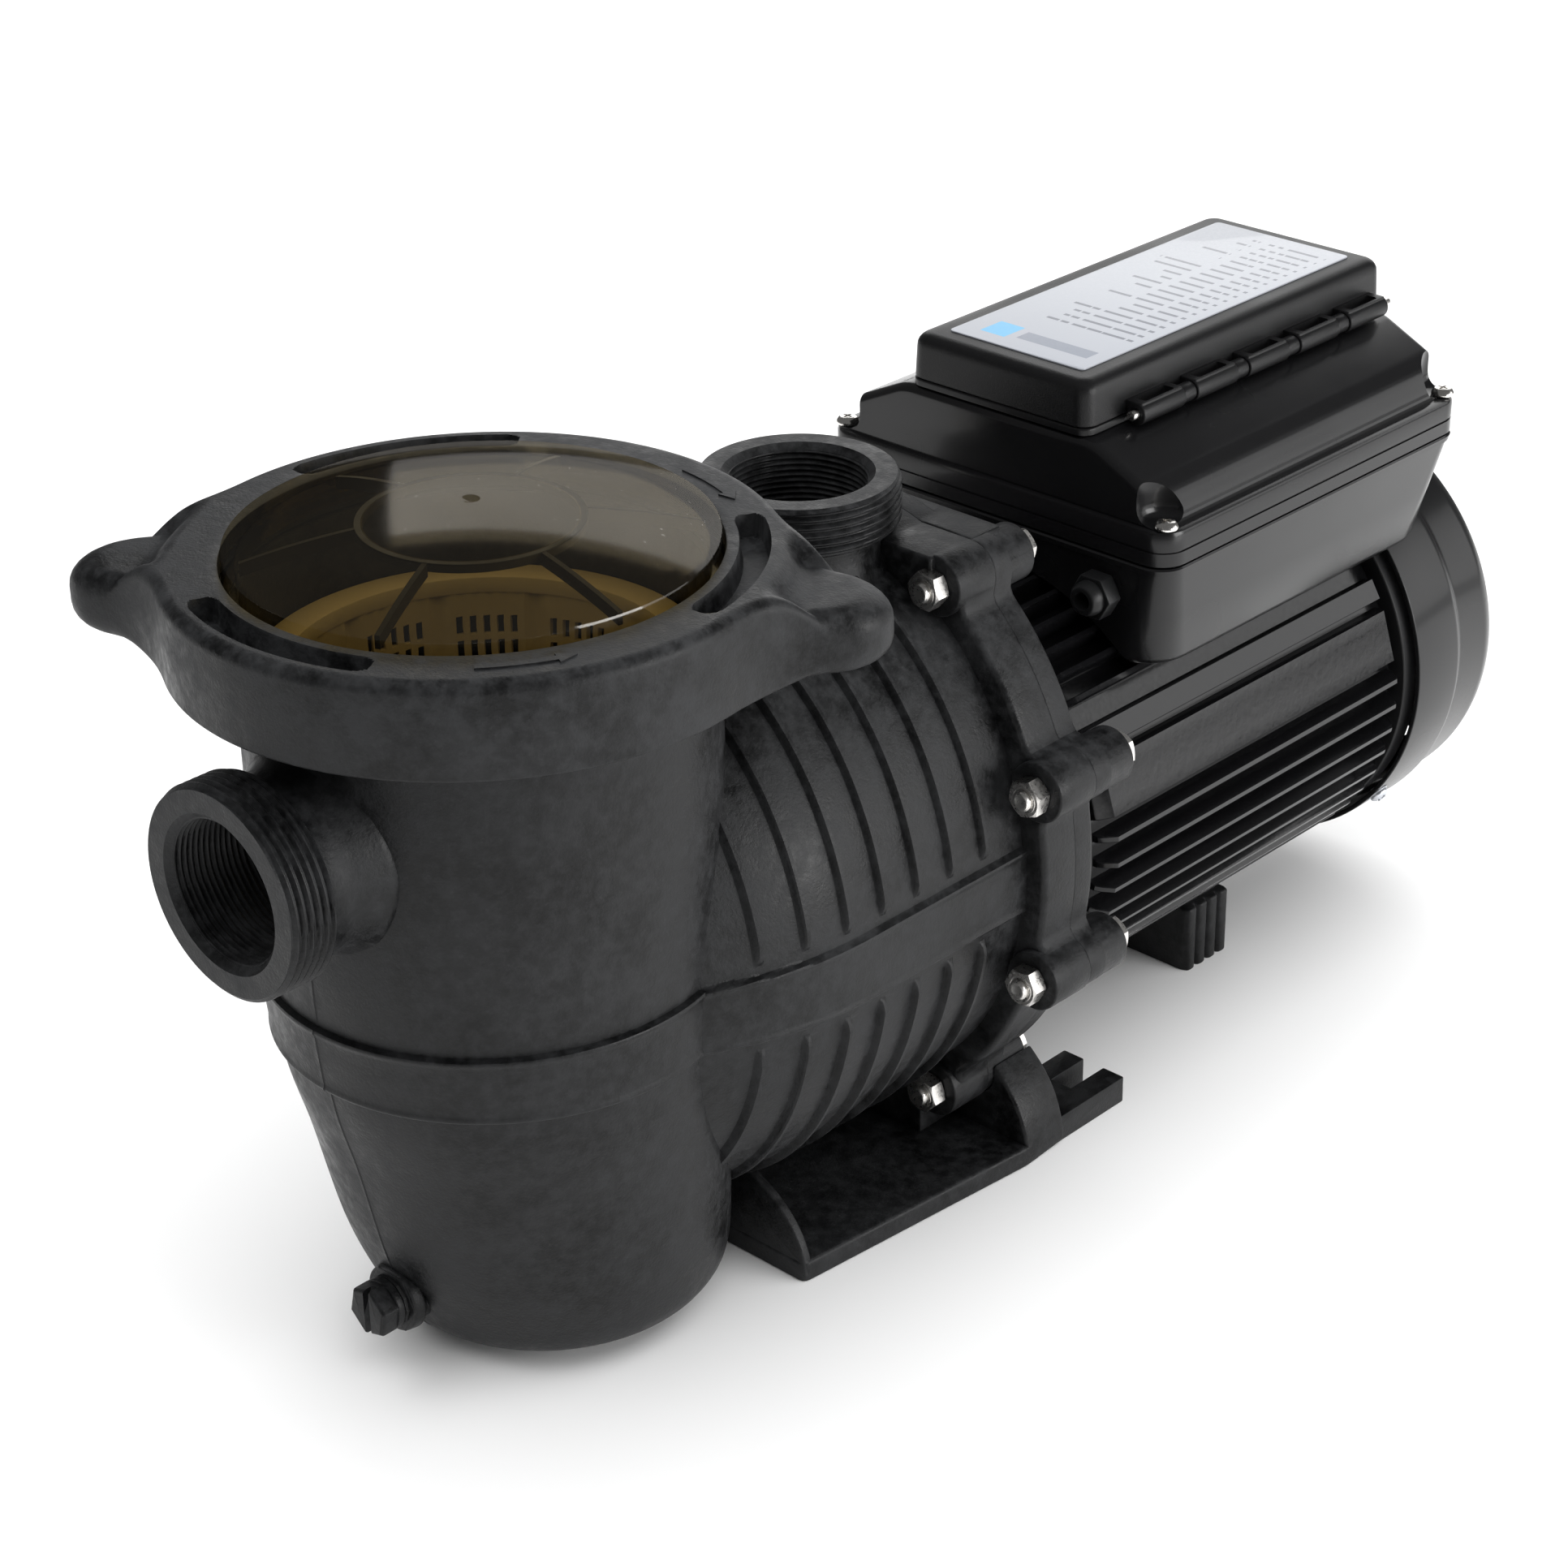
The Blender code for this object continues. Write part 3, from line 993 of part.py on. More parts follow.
# ---- fasteners of the flange ---------------------------------------------------------
def flange_bolt(index, steel):
    """Hexagon bolt from the motor side."""
    x, z = BOLT_PLACES[index]
    z += BODY_Z
    head = prism("head", [(x + u, z + v) for u, v in hexagon(HEX_FLAT)], PLATE_BACK_Y + GAP,
                 PLATE_BACK_Y + GAP + HEAD_HIGH)
    shank = rod("shank", BOLT_R, FLANGE_FRONT_Y - 11.5, PLATE_BACK_Y + 1, "Y", (x, z), 8)
    join(head, shank)
    return finish(head, f"flange_bolt_{index + 1}", steel)


def flange_nut(index, steel):
    """Hexagon nut on the pot side."""
    x, z = BOLT_PLACES[index]
    z += BODY_Z
    back = FLANGE_FRONT_Y - 2.5 - GAP
    nut = prism("nut", [(x + u, z + v) for u, v in hexagon(HEX_FLAT)], back - NUT_HIGH, back)
    cut(nut, rod("bore", BOLT_HOLE_R, back - 20, back + 20, "Y", (x, z), 8))
    return finish(nut, f"flange_nut_{index + 1}", steel)


# ---- assembly ------------------------------------------------------------------------
def build():
    """Make every piece."""
    clear_scene()
    black = make_material("filled_plastic", (0.018, 0.018, 0.019), 0.55)
    ring_black = make_material("ring_plastic", (0.02, 0.02, 0.021), 0.5)
    satin = make_material("box_plastic", (0.012, 0.012, 0.013), 0.35)
    gloss = make_material("black_paint", (0.008, 0.008, 0.009), 0.18)
    amber = make_material("smoky_amber", (0.35, 0.24, 0.10), 0.08, 0.0, 0.4)
    cream = make_material("basket_plastic", (0.62, 0.52, 0.32), 0.45)
    rubber = make_material("seal_rubber", (0.02, 0.02, 0.02), 0.8)
    grey = make_material("grey_plastic", (0.08, 0.08, 0.085), 0.5)
    steel = make_material("stainless_steel", (0.62, 0.61, 0.59), 0.25, 1.0)
    core = make_material("lamination_steel", (0.30, 0.30, 0.31), 0.5, 0.9)
    ceramic = make_material("seal_ceramic", (0.85, 0.84, 0.80), 0.3)
    white = make_material("label_film", (0.82, 0.84, 0.88), 0.4)
    green = make_material("board_green", (0.02, 0.16, 0.06), 0.4)

    pump_housing(black)
    lid_window(amber)
    lid_seal(rubber)
    lock_ring(ring_black)
    strainer_basket(cream)
    drain_plug(black)
    drain_plug_seal(rubber)
    seal_plate(black)
    housing_seal(rubber)
    diffuser(grey)
    impeller(grey)
    shaft_seal_seat(ceramic)
    shaft_seal_head(steel)
    motor_shaft(steel)
    rotor_core(core)
    stator_core(core)
    bearing("front_bearing", POT_Y + 215.8, steel)
    bearing("rear_bearing", POT_Y + 412.4, steel)
    front_end_bell(satin)
    motor_shell(gloss)
    rear_end_bell(satin)
    cooling_fan(grey)
    fan_cover(satin)
    for index in range(len(FAN_SCREW_ANGLES)):
        fan_cover_screw(index, steel)
    rear_foot(black)
    controller_base(satin)
    controller_gasket(rubber)
    controller_cover(satin)
    for index in range(4):
        cover_screw(index, steel)
    keypad_panel(satin)
    for index in range(KEY_COUNT):
        key(index, grey)
    control_lid(satin)
    hinge_pin(steel)
    rating_label(white)
    circuit_board(green)
    cable_gland(grey)
    for index in range(len(BOLT_PLACES)):
        flange_bolt(index, steel)
        flange_nut(index, steel)


build()
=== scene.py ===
"""Pool pump: the visible skins, finishes, floor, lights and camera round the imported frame."""

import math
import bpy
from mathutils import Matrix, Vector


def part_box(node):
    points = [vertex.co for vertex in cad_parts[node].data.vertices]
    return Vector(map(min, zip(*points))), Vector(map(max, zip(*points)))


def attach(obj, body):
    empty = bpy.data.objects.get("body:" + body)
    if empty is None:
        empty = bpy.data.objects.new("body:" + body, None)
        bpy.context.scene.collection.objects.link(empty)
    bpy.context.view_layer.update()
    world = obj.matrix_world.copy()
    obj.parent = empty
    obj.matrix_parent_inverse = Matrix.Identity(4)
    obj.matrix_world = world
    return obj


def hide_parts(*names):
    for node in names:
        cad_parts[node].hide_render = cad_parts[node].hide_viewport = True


bl_info = {
    "name": "Pool Pump",
    "version": (1, 0, 0),
    "blender": (4, 5, 0),
    "location": "3D View > Sidebar > Pump",
    "description": "Builds the detailed skins and finishes of a pool pump round its packed frame",
    "category": "Add Mesh",
}

import bmesh
import bpy
import numpy as np
from bpy.props import FloatProperty, FloatVectorProperty, PointerProperty
from mathutils import Matrix, Vector

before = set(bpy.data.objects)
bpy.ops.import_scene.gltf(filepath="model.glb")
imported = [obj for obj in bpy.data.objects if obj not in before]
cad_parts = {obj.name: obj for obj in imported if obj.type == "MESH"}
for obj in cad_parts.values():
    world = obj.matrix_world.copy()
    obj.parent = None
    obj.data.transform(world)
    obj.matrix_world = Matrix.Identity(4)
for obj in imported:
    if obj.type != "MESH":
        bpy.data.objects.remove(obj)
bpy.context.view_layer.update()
MM = 0.001
TURN = 2.0 * math.pi
LEFT = np.array([-1.0, 1.0])


def span(node):
    """Lowest and highest corner of a frame node, in millimetres."""
    low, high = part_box(node)
    return np.array(low) / MM, np.array(high) / MM


def middle(node):
    """Middle of a frame node's box, in millimetres."""
    low, high = span(node)
    return (low + high) / 2


# ---- places taken from the frame, in millimetres ---------------------------------------
POT_Y = float(round(middle("strainer_basket")[1], 1))
SHAFT_Z = float(round(middle("motor_shell")[2], 1))
BODY_Z = float(round(middle("housing_seal")[2], 1))
SUCTION_FACE = span("pump_housing")[0][1]
RING_LOW, RING_HIGH = span("lock_ring")
WINDOW_HIGH = span("lid_window")[1]
BASKET_LOW, BASKET_HIGH = span("strainer_basket")
SHELL_LOW, SHELL_HIGH = span("motor_shell")
COVER_LOW, COVER_HIGH = span("fan_cover")
TRAY_LOW, TRAY_HIGH = span("controller_base")
HOOD_LOW, HOOD_HIGH = span("controller_cover")
PANEL_LOW, PANEL_HIGH = span("keypad_panel")
LID_LOW, LID_HIGH = span("control_lid")
LABEL_LOW, LABEL_HIGH = span("rating_label")
PLATE_HIGH = span("seal_plate")[1]
FOOT_LOW, FOOT_HIGH = span("rear_foot")
BOSSES = [middle(f"flange_nut_{k}")[[0, 2]] for k in range(1, 9)]
NUT_HIGH = span("flange_nut_1")[1]
BOLT_LOW = span("flange_bolt_1")[0]

BELT_HALF = 12.5
BELT_PROUD = 1.8
VOLUTE_HALF_X = 93.0
VOLUTE_HALF_Z = 111.0
VOLUTE_START = POT_Y + 14.0
FLANGE_FRONT = POT_Y + 167.0
JOINT_Y = POT_Y + 184.0
SUCTION_Z = 212.3
DISCHARGE_Y = POT_Y + 152.0
DISCHARGE_TOP = 272.2
PORT_R = 36.5
NECK_R = 31.5
BORE_R = 25.0
THREAD_LONG = 18.0


# ---- mesh tools ------------------------------------------------------------------------
class Skin:
    """Points and faces of one piece, gathered before they become a mesh."""

    def __init__(self):
        self.points = []
        self.faces = []
        self.total = 0

    def net(self, grid, loop=False, caps=True):
        """Adds a grid of rows of points, each row closed on itself.

        Row i and row i + 1 are joined by one four-sided face per column. With loop the last
        row joins the first; otherwise each end row is closed by one flat face.
        """
        grid = np.asarray(grid, dtype=float)
        rows, columns, _ = grid.shape
        index = np.arange(rows * columns).reshape(rows, columns) + self.total
        start = index if loop else index[:-1]
        end = np.roll(index, -1, axis=0) if loop else index[1:]
        quads = np.stack([start, np.roll(start, -1, axis=1), np.roll(end, -1, axis=1), end], axis=-1)
        self.points.append(grid.reshape(-1, 3))
        self.faces += quads.reshape(-1, 4).tolist()
        if caps and not loop:
            self.faces.append(index[0][::-1].tolist())
            self.faces.append(index[-1].tolist())
        self.total += rows * columns
        return self

    def cells(self, grid, keep):
        """Adds an open sheet, closed round its columns, with only the cells that keep marks."""
        rows, columns, _ = grid.shape
        index = np.arange(rows * columns).reshape(rows, columns) + self.total
        quads = np.stack([index[:-1], np.roll(index[:-1], -1, axis=1),
                          np.roll(index[1:], -1, axis=1), index[1:]], axis=-1)
        self.points.append(grid.reshape(-1, 3))
        self.faces += quads[keep].tolist()
        self.total += rows * columns
        return self

    def piece(self, name, sharp=32.0, weld=2e-6):
        """Turns the gathered faces into one object with outward faces."""
        mesh = bpy.data.meshes.new(name)
        mesh.from_pydata((np.concatenate(self.points) * MM).tolist(), [], self.faces)
        work = bmesh.new()
        work.from_mesh(mesh)
        bmesh.ops.remove_doubles(work, verts=work.verts, dist=weld)
        loose = [v for v in work.verts if not v.link_faces]
        bmesh.ops.delete(work, geom=loose, context="VERTS")
        bmesh.ops.recalc_face_normals(work, faces=work.faces)
        work.to_mesh(mesh)
        work.free()
        thing = bpy.data.objects.new(name, mesh)
        bpy.context.scene.collection.objects.link(thing)
        soft_shade(thing, sharp)
        return thing


def soft_shade(thing, sharp=32.0):
    """Smooth shading that breaks at edges sharper than the given angle in degrees."""
    mesh = thing.data
    mesh.polygons.foreach_set("use_smooth", np.ones(len(mesh.polygons), dtype=bool))
    mesh.set_sharp_from_angle(angle=math.radians(sharp))


def settle(thing):
    """Writes the piece's modifiers into its mesh."""
    bpy.context.view_layer.update()
    graph = bpy.context.evaluated_depsgraph_get()
    mesh = bpy.data.meshes.new_from_object(thing.evaluated_get(graph))
    old = thing.data
    thing.modifiers.clear()
    thing.data = mesh
    bpy.data.meshes.remove(old)
    return thing


def blend_solids(thing, tools, operation, sharp=32.0):
    """Joins or cuts closed solids and clears the tools away."""
    for tool in tools:
        step = thing.modifiers.new("solid", "BOOLEAN")
        step.operation = operation
        step.solver = "MANIFOLD"
        step.object = tool
    settle(thing)
    for tool in tools:
        bpy.data.objects.remove(tool, do_unlink=True)
    soft_shade(thing, sharp)
    return thing


def fuse(thing, *tools, sharp=32.0):
    """Union."""
    return blend_solids(thing, tools, "UNION", sharp)


def carve(thing, *tools, sharp=32.0):
    """Difference."""
    return blend_solids(thing, tools, "DIFFERENCE", sharp)


def dress(thing, body, slot, finish, *nodes):
    """Gives a piece its body, its finish and the nodes that it stands for, which it hides; slot is not used.
    """
    thing.data.materials.clear()
    thing.data.materials.append(finish)
    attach(thing, body)
    if nodes:
        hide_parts(*nodes)
    return thing


# ---- curves ----------------------------------------------------------------------------
def soften(corners, rounds, steps=4, closed=False):
    """Rounds the corners of a line: each corner becomes a parabola between points set back
    along both sides by the corner's round, or by nearly half of the shorter side."""
    corners = np.asarray(corners, dtype=float)
    rounds = np.broadcast_to(np.asarray(rounds, dtype=float), (len(corners),))
    share = np.linspace(0.0, 1.0, steps + 1)[:, None]
    line = []
    for k, here in enumerate(corners):
        if not closed and k in (0, len(corners) - 1):
            line.append(here[None])
            continue
        to_last = corners[k - 1] - here
        to_next = corners[(k + 1) % len(corners)] - here
        reach = min(rounds[k], 0.48 * np.linalg.norm(to_last), 0.48 * np.linalg.norm(to_next))
        if reach < 1e-3:
            line.append(here[None])
            continue
        start = here + to_last / np.linalg.norm(to_last) * reach
        end = here + to_next / np.linalg.norm(to_next) * reach
        line.append((1 - share) ** 2 * start + 2 * share * (1 - share) * here + share ** 2 * end)
    return np.concatenate(line)


def flow(table, count):
    """Smooth line through table rows: a Catmull-Rom curve, the same share to each stretch."""
    table = np.asarray(table, dtype=float)
    padded = np.concatenate([2 * table[:1] - table[1:2], table, 2 * table[-1:] - table[-2:-1]])
    place = np.linspace(0.0, len(table) - 1.0 - 1e-9, count)
    part = place.astype(int)
    t = (place - part)[:, None]
    a, b, c, d = (padded[part + k] for k in range(4))
    return 0.5 * (2 * b + (c - a) * t + (2 * a - 5 * b + 4 * c - d) * t ** 2
                  + (3 * b - a - 3 * c + d) * t ** 3)


def circle(count, first=0.0):
    """Angles of a full turn."""
    return first + np.linspace(0.0, TURN, count, endpoint=False)


def stand(axis, u, v, w):
    """Puts plane coordinates u, v and the distance w along the axis into X, Y, Z."""
    u, v, w = np.broadcast_arrays(u, v, w)
    return np.stack((u, v, w) if axis == "Z" else (u, w, v), axis=-1)


def lathe(profile, axis, centre, count=96):
    """Turned surface: every profile point (radius, along) goes round the axis in a circle."""
    profile = np.asarray(profile, dtype=float)
    angle = circle(count)[None]
    radius = profile[:, :1]
    return stand(axis, centre[0] + radius * np.cos(angle), centre[1] + radius * np.sin(angle),
                 profile[:, 1:2])


def rounded_box(half_u, half_v, corner, centre=(0.0, 0.0), steps=6):
    """Outline of a rectangle whose corners are quarter circles."""
    quarter = np.linspace(0.0, math.pi / 2, steps + 1)
    turns = [quarter + k * math.pi / 2 for k in range(4)]
    signs = [(1, 1), (-1, 1), (-1, -1), (1, -1)]
    outline = [np.stack([s * (half_u - corner) + corner * np.cos(t),
                         r * (half_v - corner) + corner * np.sin(t)], axis=-1)
               for (s, r), t in zip(signs, turns)]
    return np.concatenate(outline) + np.asarray(centre)


def mirrored(side):
    """Right half of an outline, closed by its mirror image on the left."""
    return np.concatenate([side, (side * LEFT)[::-1]])


def shrink(outline, amount):
    """Moves every point of a closed outline inwards along the mean normal of its two sides."""
    ahead = np.roll(outline, -1, axis=0) - outline
    behind = outline - np.roll(outline, 1, axis=0)
    ahead /= np.linalg.norm(ahead, axis=1, keepdims=True) + 1e-12
    behind /= np.linalg.norm(behind, axis=1, keepdims=True) + 1e-12
    way = ahead + behind
    way /= np.linalg.norm(way, axis=1, keepdims=True) + 1e-12
    inward = np.stack([-way[:, 1], way[:, 0]], axis=-1)
    area = np.sum(outline[:, 0] * np.roll(outline[:, 1], -1) - outline[:, 1] * np.roll(outline[:, 0], -1))
    return outline + inward * amount * math.copysign(1.0, area)


def slab(outline, low, high, axis="Z", low_round=0.0, high_round=0.0, steps=4):
    """Outline carried along the axis, with both rims rounded: near a rim the outline shrinks by
    the round times one minus the sine while the place moves by the round times the cosine."""
    outline = np.asarray(outline, dtype=float)
    turn = np.linspace(0.0, math.pi / 2, steps + 1)
    rows = []
    if low_round > 0:
        rows += [(low + low_round * (1 - math.sin(t)), low_round * (1 - math.cos(t))) for t in turn[::-1]]
    else:
        rows.append((low, 0.0))
    if high_round > 0:
        rows += [(high - high_round * (1 - math.sin(t)), high_round * (1 - math.cos(t))) for t in turn]
    else:
        rows.append((high, 0.0))
    nets = []
    for place, inset in rows:
        flat = shrink(outline, inset)
        nets.append(stand(axis, flat[:, 0], flat[:, 1], place))
    return np.stack(nets)


def box_net(low, high, edge=0.6, axis="Z", corner=1.0):
    """Block between two corners, with small rounds all over."""
    low, high = np.asarray(low, dtype=float), np.asarray(high, dtype=float)
    flat, along = ([0, 1], 2) if axis == "Z" else ([0, 2], 1)
    half_u, half_v = (high - low)[flat] / 2
    outline = rounded_box(half_u, half_v, corner, (high + low)[flat] / 2, 3)
    return slab(outline, low[along], high[along], axis, edge, edge, 2)


def hexagon(flat, first=0.0, corner=0.5):
    """Outline of a hexagon with slightly rounded corners."""
    angle = circle(6, first)
    corners = np.stack([np.cos(angle), np.sin(angle)], axis=-1) * flat / math.sqrt(3)
    return soften(corners, corner, 2, closed=True)


def rod(radius, start, end, axis, centre, count=48, edge=0.0):
    """Plain round bar."""
    angle = circle(count)
    outline = np.stack([centre[0] + radius * np.cos(angle), centre[1] + radius * np.sin(angle)], axis=-1)
    return slab(outline, start, end, axis, edge, edge, 3)


def solid(net_or_nets, name="tool", loop=False, sharp=32.0):
    """One object from one closed net, or from a list of them."""
    nets = net_or_nets if isinstance(net_or_nets, list) else [net_or_nets]
    skin = Skin()
    for net in nets:
        skin.net(net, loop=loop)
    return skin.piece(name, sharp)


def ease(share):
    """Share that starts and ends gently: three squares less two cubes."""
    return share * share * (3 - 2 * share)


def smooth_min(a, b, k):
    """Smaller of two distances, rounded over the width k where they are close."""
    h = np.clip(0.5 + 0.5 * (b - a) / k, 0.0, 1.0)
    return b * (1 - h) + a * h - k * h * (1 - h)


def polar_edge(distance, count, reach, first=0.0):
    """Radius at each angle where a signed distance turns positive, by halving the range."""
    angle = circle(count, first)
    low = np.zeros(count)
    high = np.full(count, float(reach))
    for _ in range(40):
        mid = (low + high) / 2
        inside = distance(mid * np.cos(angle), mid * np.sin(angle)) < 0
        low = np.where(inside, mid, low)
        high = np.where(inside, high, mid)
    return angle, (low + high) / 2


# ---- shader tools ----------------------------------------------------------------------
class Wire:
    """A socket that can be used in sums; every sum adds a Math node."""

    def __init__(self, paint, socket):
        self.paint = paint
        self.socket = socket

    def _sum(self, operation, left, right):
        node = self.paint.node("ShaderNodeMath", {"operation": operation}, {0: left, 1: right})
        return Wire(self.paint, node.outputs[0])

    def __add__(self, other):
        return self._sum("ADD", self, other)

    __radd__ = __add__

    def __sub__(self, other):
        return self._sum("SUBTRACT", self, other)

    def __rsub__(self, other):
        return self._sum("SUBTRACT", other, self)

    def __mul__(self, other):
        return self._sum("MULTIPLY", self, other)

    __rmul__ = __mul__

    def __truediv__(self, other):
        return self._sum("DIVIDE", self, other)

    def __rtruediv__(self, other):
        return self._sum("DIVIDE", other, self)

    def __gt__(self, other):
        return self._sum("GREATER_THAN", self, other)

    def __lt__(self, other):
        return self._sum("LESS_THAN", self, other)

    def wrap(self, period):
        """Remainder after whole periods."""
        return self._sum("FLOORED_MODULO", self, period)

    def floor(self):
        """Whole part."""
        return self._sum("FLOOR", self, 0.0)

    def ramp(self, low, high, out_low=0.0, out_high=1.0):
        """Straight change from one range to another, held at both ends."""
        node = self.paint.node("ShaderNodeMapRange", {"clamp": True},
                               {0: self, 1: low, 2: high, 3: out_low, 4: out_high})
        return Wire(self.paint, node.outputs[0])


class Paint:
    """One material and the nodes added to it."""

    def __init__(self, name):
        self.material = bpy.data.materials.new(name)
        self.material.use_nodes = True
        self.tree = self.material.node_tree
        self.tree.nodes.clear()
        self.out = self.tree.nodes.new("ShaderNodeOutputMaterial")

    def node(self, kind, settings=None, values=None):
        """Adds a node: its settings first, then the values or links of its sockets."""
        node = self.tree.nodes.new(kind)
        for key, value in (settings or {}).items():
            if key == "stops":
                fill_ramp(node, value)
            else:
                setattr(node, key, value)
        for key, value in (values or {}).items():
            socket = node.inputs[key]
            if isinstance(value, Wire):
                self.tree.links.new(value.socket, socket)
            elif isinstance(value, bpy.types.NodeSocket):
                self.tree.links.new(value, socket)
            else:
                socket.default_value = value
        return node

    def place(self, scale=(1.0, 1.0, 1.0)):
        """Object coordinates, stretched for a pattern."""
        spot = self.node("ShaderNodeTexCoord").outputs["Object"]
        node = self.node("ShaderNodeMapping", {}, {"Vector": spot, "Scale": scale})
        return node.outputs[0]

    def noise(self, scale, detail=3.0, rough=0.5, where=None):
        """Cloudy noise at a scale in cycles per metre."""
        node = self.node("ShaderNodeTexNoise", {}, {"Vector": where or self.place(), "Scale": scale,
                                                    "Detail": detail, "Roughness": rough})
        return Wire(self, node.outputs["Fac"])

    def split(self):
        """The three object coordinates as numbers."""
        spot = self.node("ShaderNodeTexCoord").outputs["Object"]
        node = self.node("ShaderNodeSeparateXYZ", {}, {0: spot})
        return [Wire(self, node.outputs[k]) for k in range(3)]

    def mix(self, share, first, second):
        """Mix of two colours."""
        node = self.node("ShaderNodeMix", {"data_type": "RGBA"}, {0: share, 6: first, 7: second})
        return node.outputs[2]

    def bump(self, height, strength, depth):
        """Normal from a height, with a depth in metres."""
        node = self.node("ShaderNodeBump", {}, {"Height": height, "Strength": strength, "Distance": depth})
        return node.outputs[0]

    def body(self, **values):
        """Principled shader wired to the output."""
        names = {key.replace("_", " "): value for key, value in values.items()}
        node = self.node("ShaderNodeBsdfPrincipled", {}, names)
        self.tree.links.new(node.outputs[0], self.out.inputs[0])
        return node

    def done(self):
        """The finished material."""
        return self.material


def fill_ramp(node, stops):
    """Sets a colour ramp's stops, each a place and a colour."""
    ramp = node.color_ramp
    while len(ramp.elements) < len(stops):
        ramp.elements.new(0.5)
    for element, (place, colour) in zip(ramp.elements, stops):
        element.position = place
        element.color = colour


def tone(colour, factor=1.0):
    """Colour with its alpha, made lighter or darker."""
    return (*[min(1.0, c * factor) for c in colour], 1.0)


# ---- finishes --------------------------------------------------------------------------
def filled_plastic(name, colour, rough, cloud=0.5, grain=0.35):
    """Glass-filled plastic: cloudy flow marks, blotches of dust, a fine grain and a rubbed sheen."""
    paint = Paint(name)
    flow_marks = paint.noise(38.0, 6.0, 0.66)
    blotches = paint.noise(210.0, 4.0, 0.62)
    specks = paint.noise(900.0, 2.0, 0.6)
    share = (flow_marks.ramp(0.40, 0.64) * cloud + blotches.ramp(0.42, 0.66) * (0.30 + 0.3 * cloud)
             + specks.ramp(0.60, 0.74) * 0.25)
    shade = paint.mix(share, tone(colour, 0.5), tone(colour, 3.4))
    sheen = (flow_marks.ramp(0.35, 0.65, rough - 0.10, rough + 0.09)
             + blotches.ramp(0.35, 0.65, -0.08, 0.08))
    height = specks * 0.8 + blotches * 1.4
    paint.body(Base_Color=shade, Roughness=sheen, Normal=paint.bump(height, grain, 0.0004),
               Specular_IOR_Level=0.23)
    return paint.done()


def moulded_plastic(name, colour, rough, grain=0.2, coat=0.0):
    """Smooth moulded plastic with an even fine texture and slight waviness."""
    paint = Paint(name)
    wave = paint.noise(18.0, 2.0, 0.5)
    fine = paint.noise(1900.0, 2.0, 0.6)
    dust = paint.noise(900.0, 1.0, 0.5)
    shade = paint.mix(dust.ramp(0.72, 0.80, 0.0, 0.5), tone(colour), tone(colour, 4.0))
    sheen = wave.ramp(0.35, 0.65, rough - 0.04, rough + 0.05)
    paint.body(Base_Color=shade, Roughness=sheen, Normal=paint.bump(fine, grain, 0.0002),
               Coat_Weight=coat, Coat_Roughness=0.12, Specular_IOR_Level=0.3)
    return paint.done()


def gloss_paint(name, colour, rough):
    """Gloss paint over cast metal with a faint orange peel."""
    paint = Paint(name)
    peel = paint.noise(320.0, 2.0, 0.5)
    dust = paint.noise(700.0, 1.0, 0.5)
    shade = paint.mix(dust.ramp(0.70, 0.78, 0.0, 0.35), tone(colour), tone(colour, 5.0))
    paint.body(Base_Color=shade, Roughness=dust.ramp(0.3, 0.7, rough - 0.03, rough + 0.07),
               Normal=paint.bump(peel, 0.12, 0.0003), Coat_Weight=0.22, Coat_Roughness=0.08,
               Specular_IOR_Level=0.35)
    return paint.done()


def bright_metal(name, colour, rough, scale=(1.0, 1.0, 1.0)):
    """Bright metal with fine drawn lines."""
    paint = Paint(name)
    lines = paint.noise(700.0, 3.0, 0.6, paint.place(scale))
    cloud = paint.noise(120.0, 2.0, 0.5)
    shade = paint.mix(cloud, tone(colour, 0.92), tone(colour, 1.08))
    paint.body(Base_Color=shade, Metallic=1.0, Roughness=lines.ramp(0.3, 0.7, rough - 0.07, rough + 0.1),
               Normal=paint.bump(lines, 0.015, 0.00005))
    return paint.done()


def dull_metal(name, colour):
    """Stacked laminations: thin dark lines across the shaft."""
    paint = Paint(name)
    _, y, _ = paint.split()
    line = (y / 0.0012).wrap(1.0).ramp(0.0, 0.25)
    cloud = paint.noise(60.0)
    shade = paint.mix(line, tone(colour, 0.5), tone(colour, 1.1))
    paint.body(Base_Color=shade, Metallic=0.9, Roughness=cloud.ramp(0.3, 0.7, 0.45, 0.6),
               Normal=paint.bump(line, 0.4, 0.0002))
    return paint.done()


def smoky_window(name, colour, shine):
    """Clear tinted plastic: light goes straight through and is tinted, and the face shines."""
    paint = Paint(name)
    cloud = paint.noise(14.0, 2.0)
    dust = paint.noise(700.0, 1.0)
    through = paint.node("ShaderNodeBsdfTransparent", {}, {"Color": tone(colour)})
    gloss = paint.node("ShaderNodeBsdfGlossy", {}, {"Color": (1.0, 0.97, 0.92, 1.0), "Roughness": 0.09})
    share = cloud.ramp(0.3, 0.7, shine - 0.01, shine + 0.01) + dust.ramp(0.74, 0.80, 0.0, 0.12)
    both = paint.node("ShaderNodeMixShader", {}, {0: share, 1: through.outputs[0], 2: gloss.outputs[0]})
    paint.tree.links.new(both.outputs[0], paint.out.inputs[0])
    return paint.done()


def basket_plastic(name, colour):
    """Pale natural plastic, slightly darker towards the bottom."""
    paint = Paint(name)
    _, _, z = paint.split()
    cloud = paint.noise(30.0, 4.0)
    share = z.ramp(0.06, 0.24) * 0.6 + cloud * 0.4
    shade = paint.mix(share, tone(colour, 0.7), tone(colour, 1.1))
    paint.body(Base_Color=shade, Roughness=cloud.ramp(0.3, 0.7, 0.38, 0.52),
               Normal=paint.bump(paint.noise(800.0), 0.15, 0.0002))
    return paint.done()


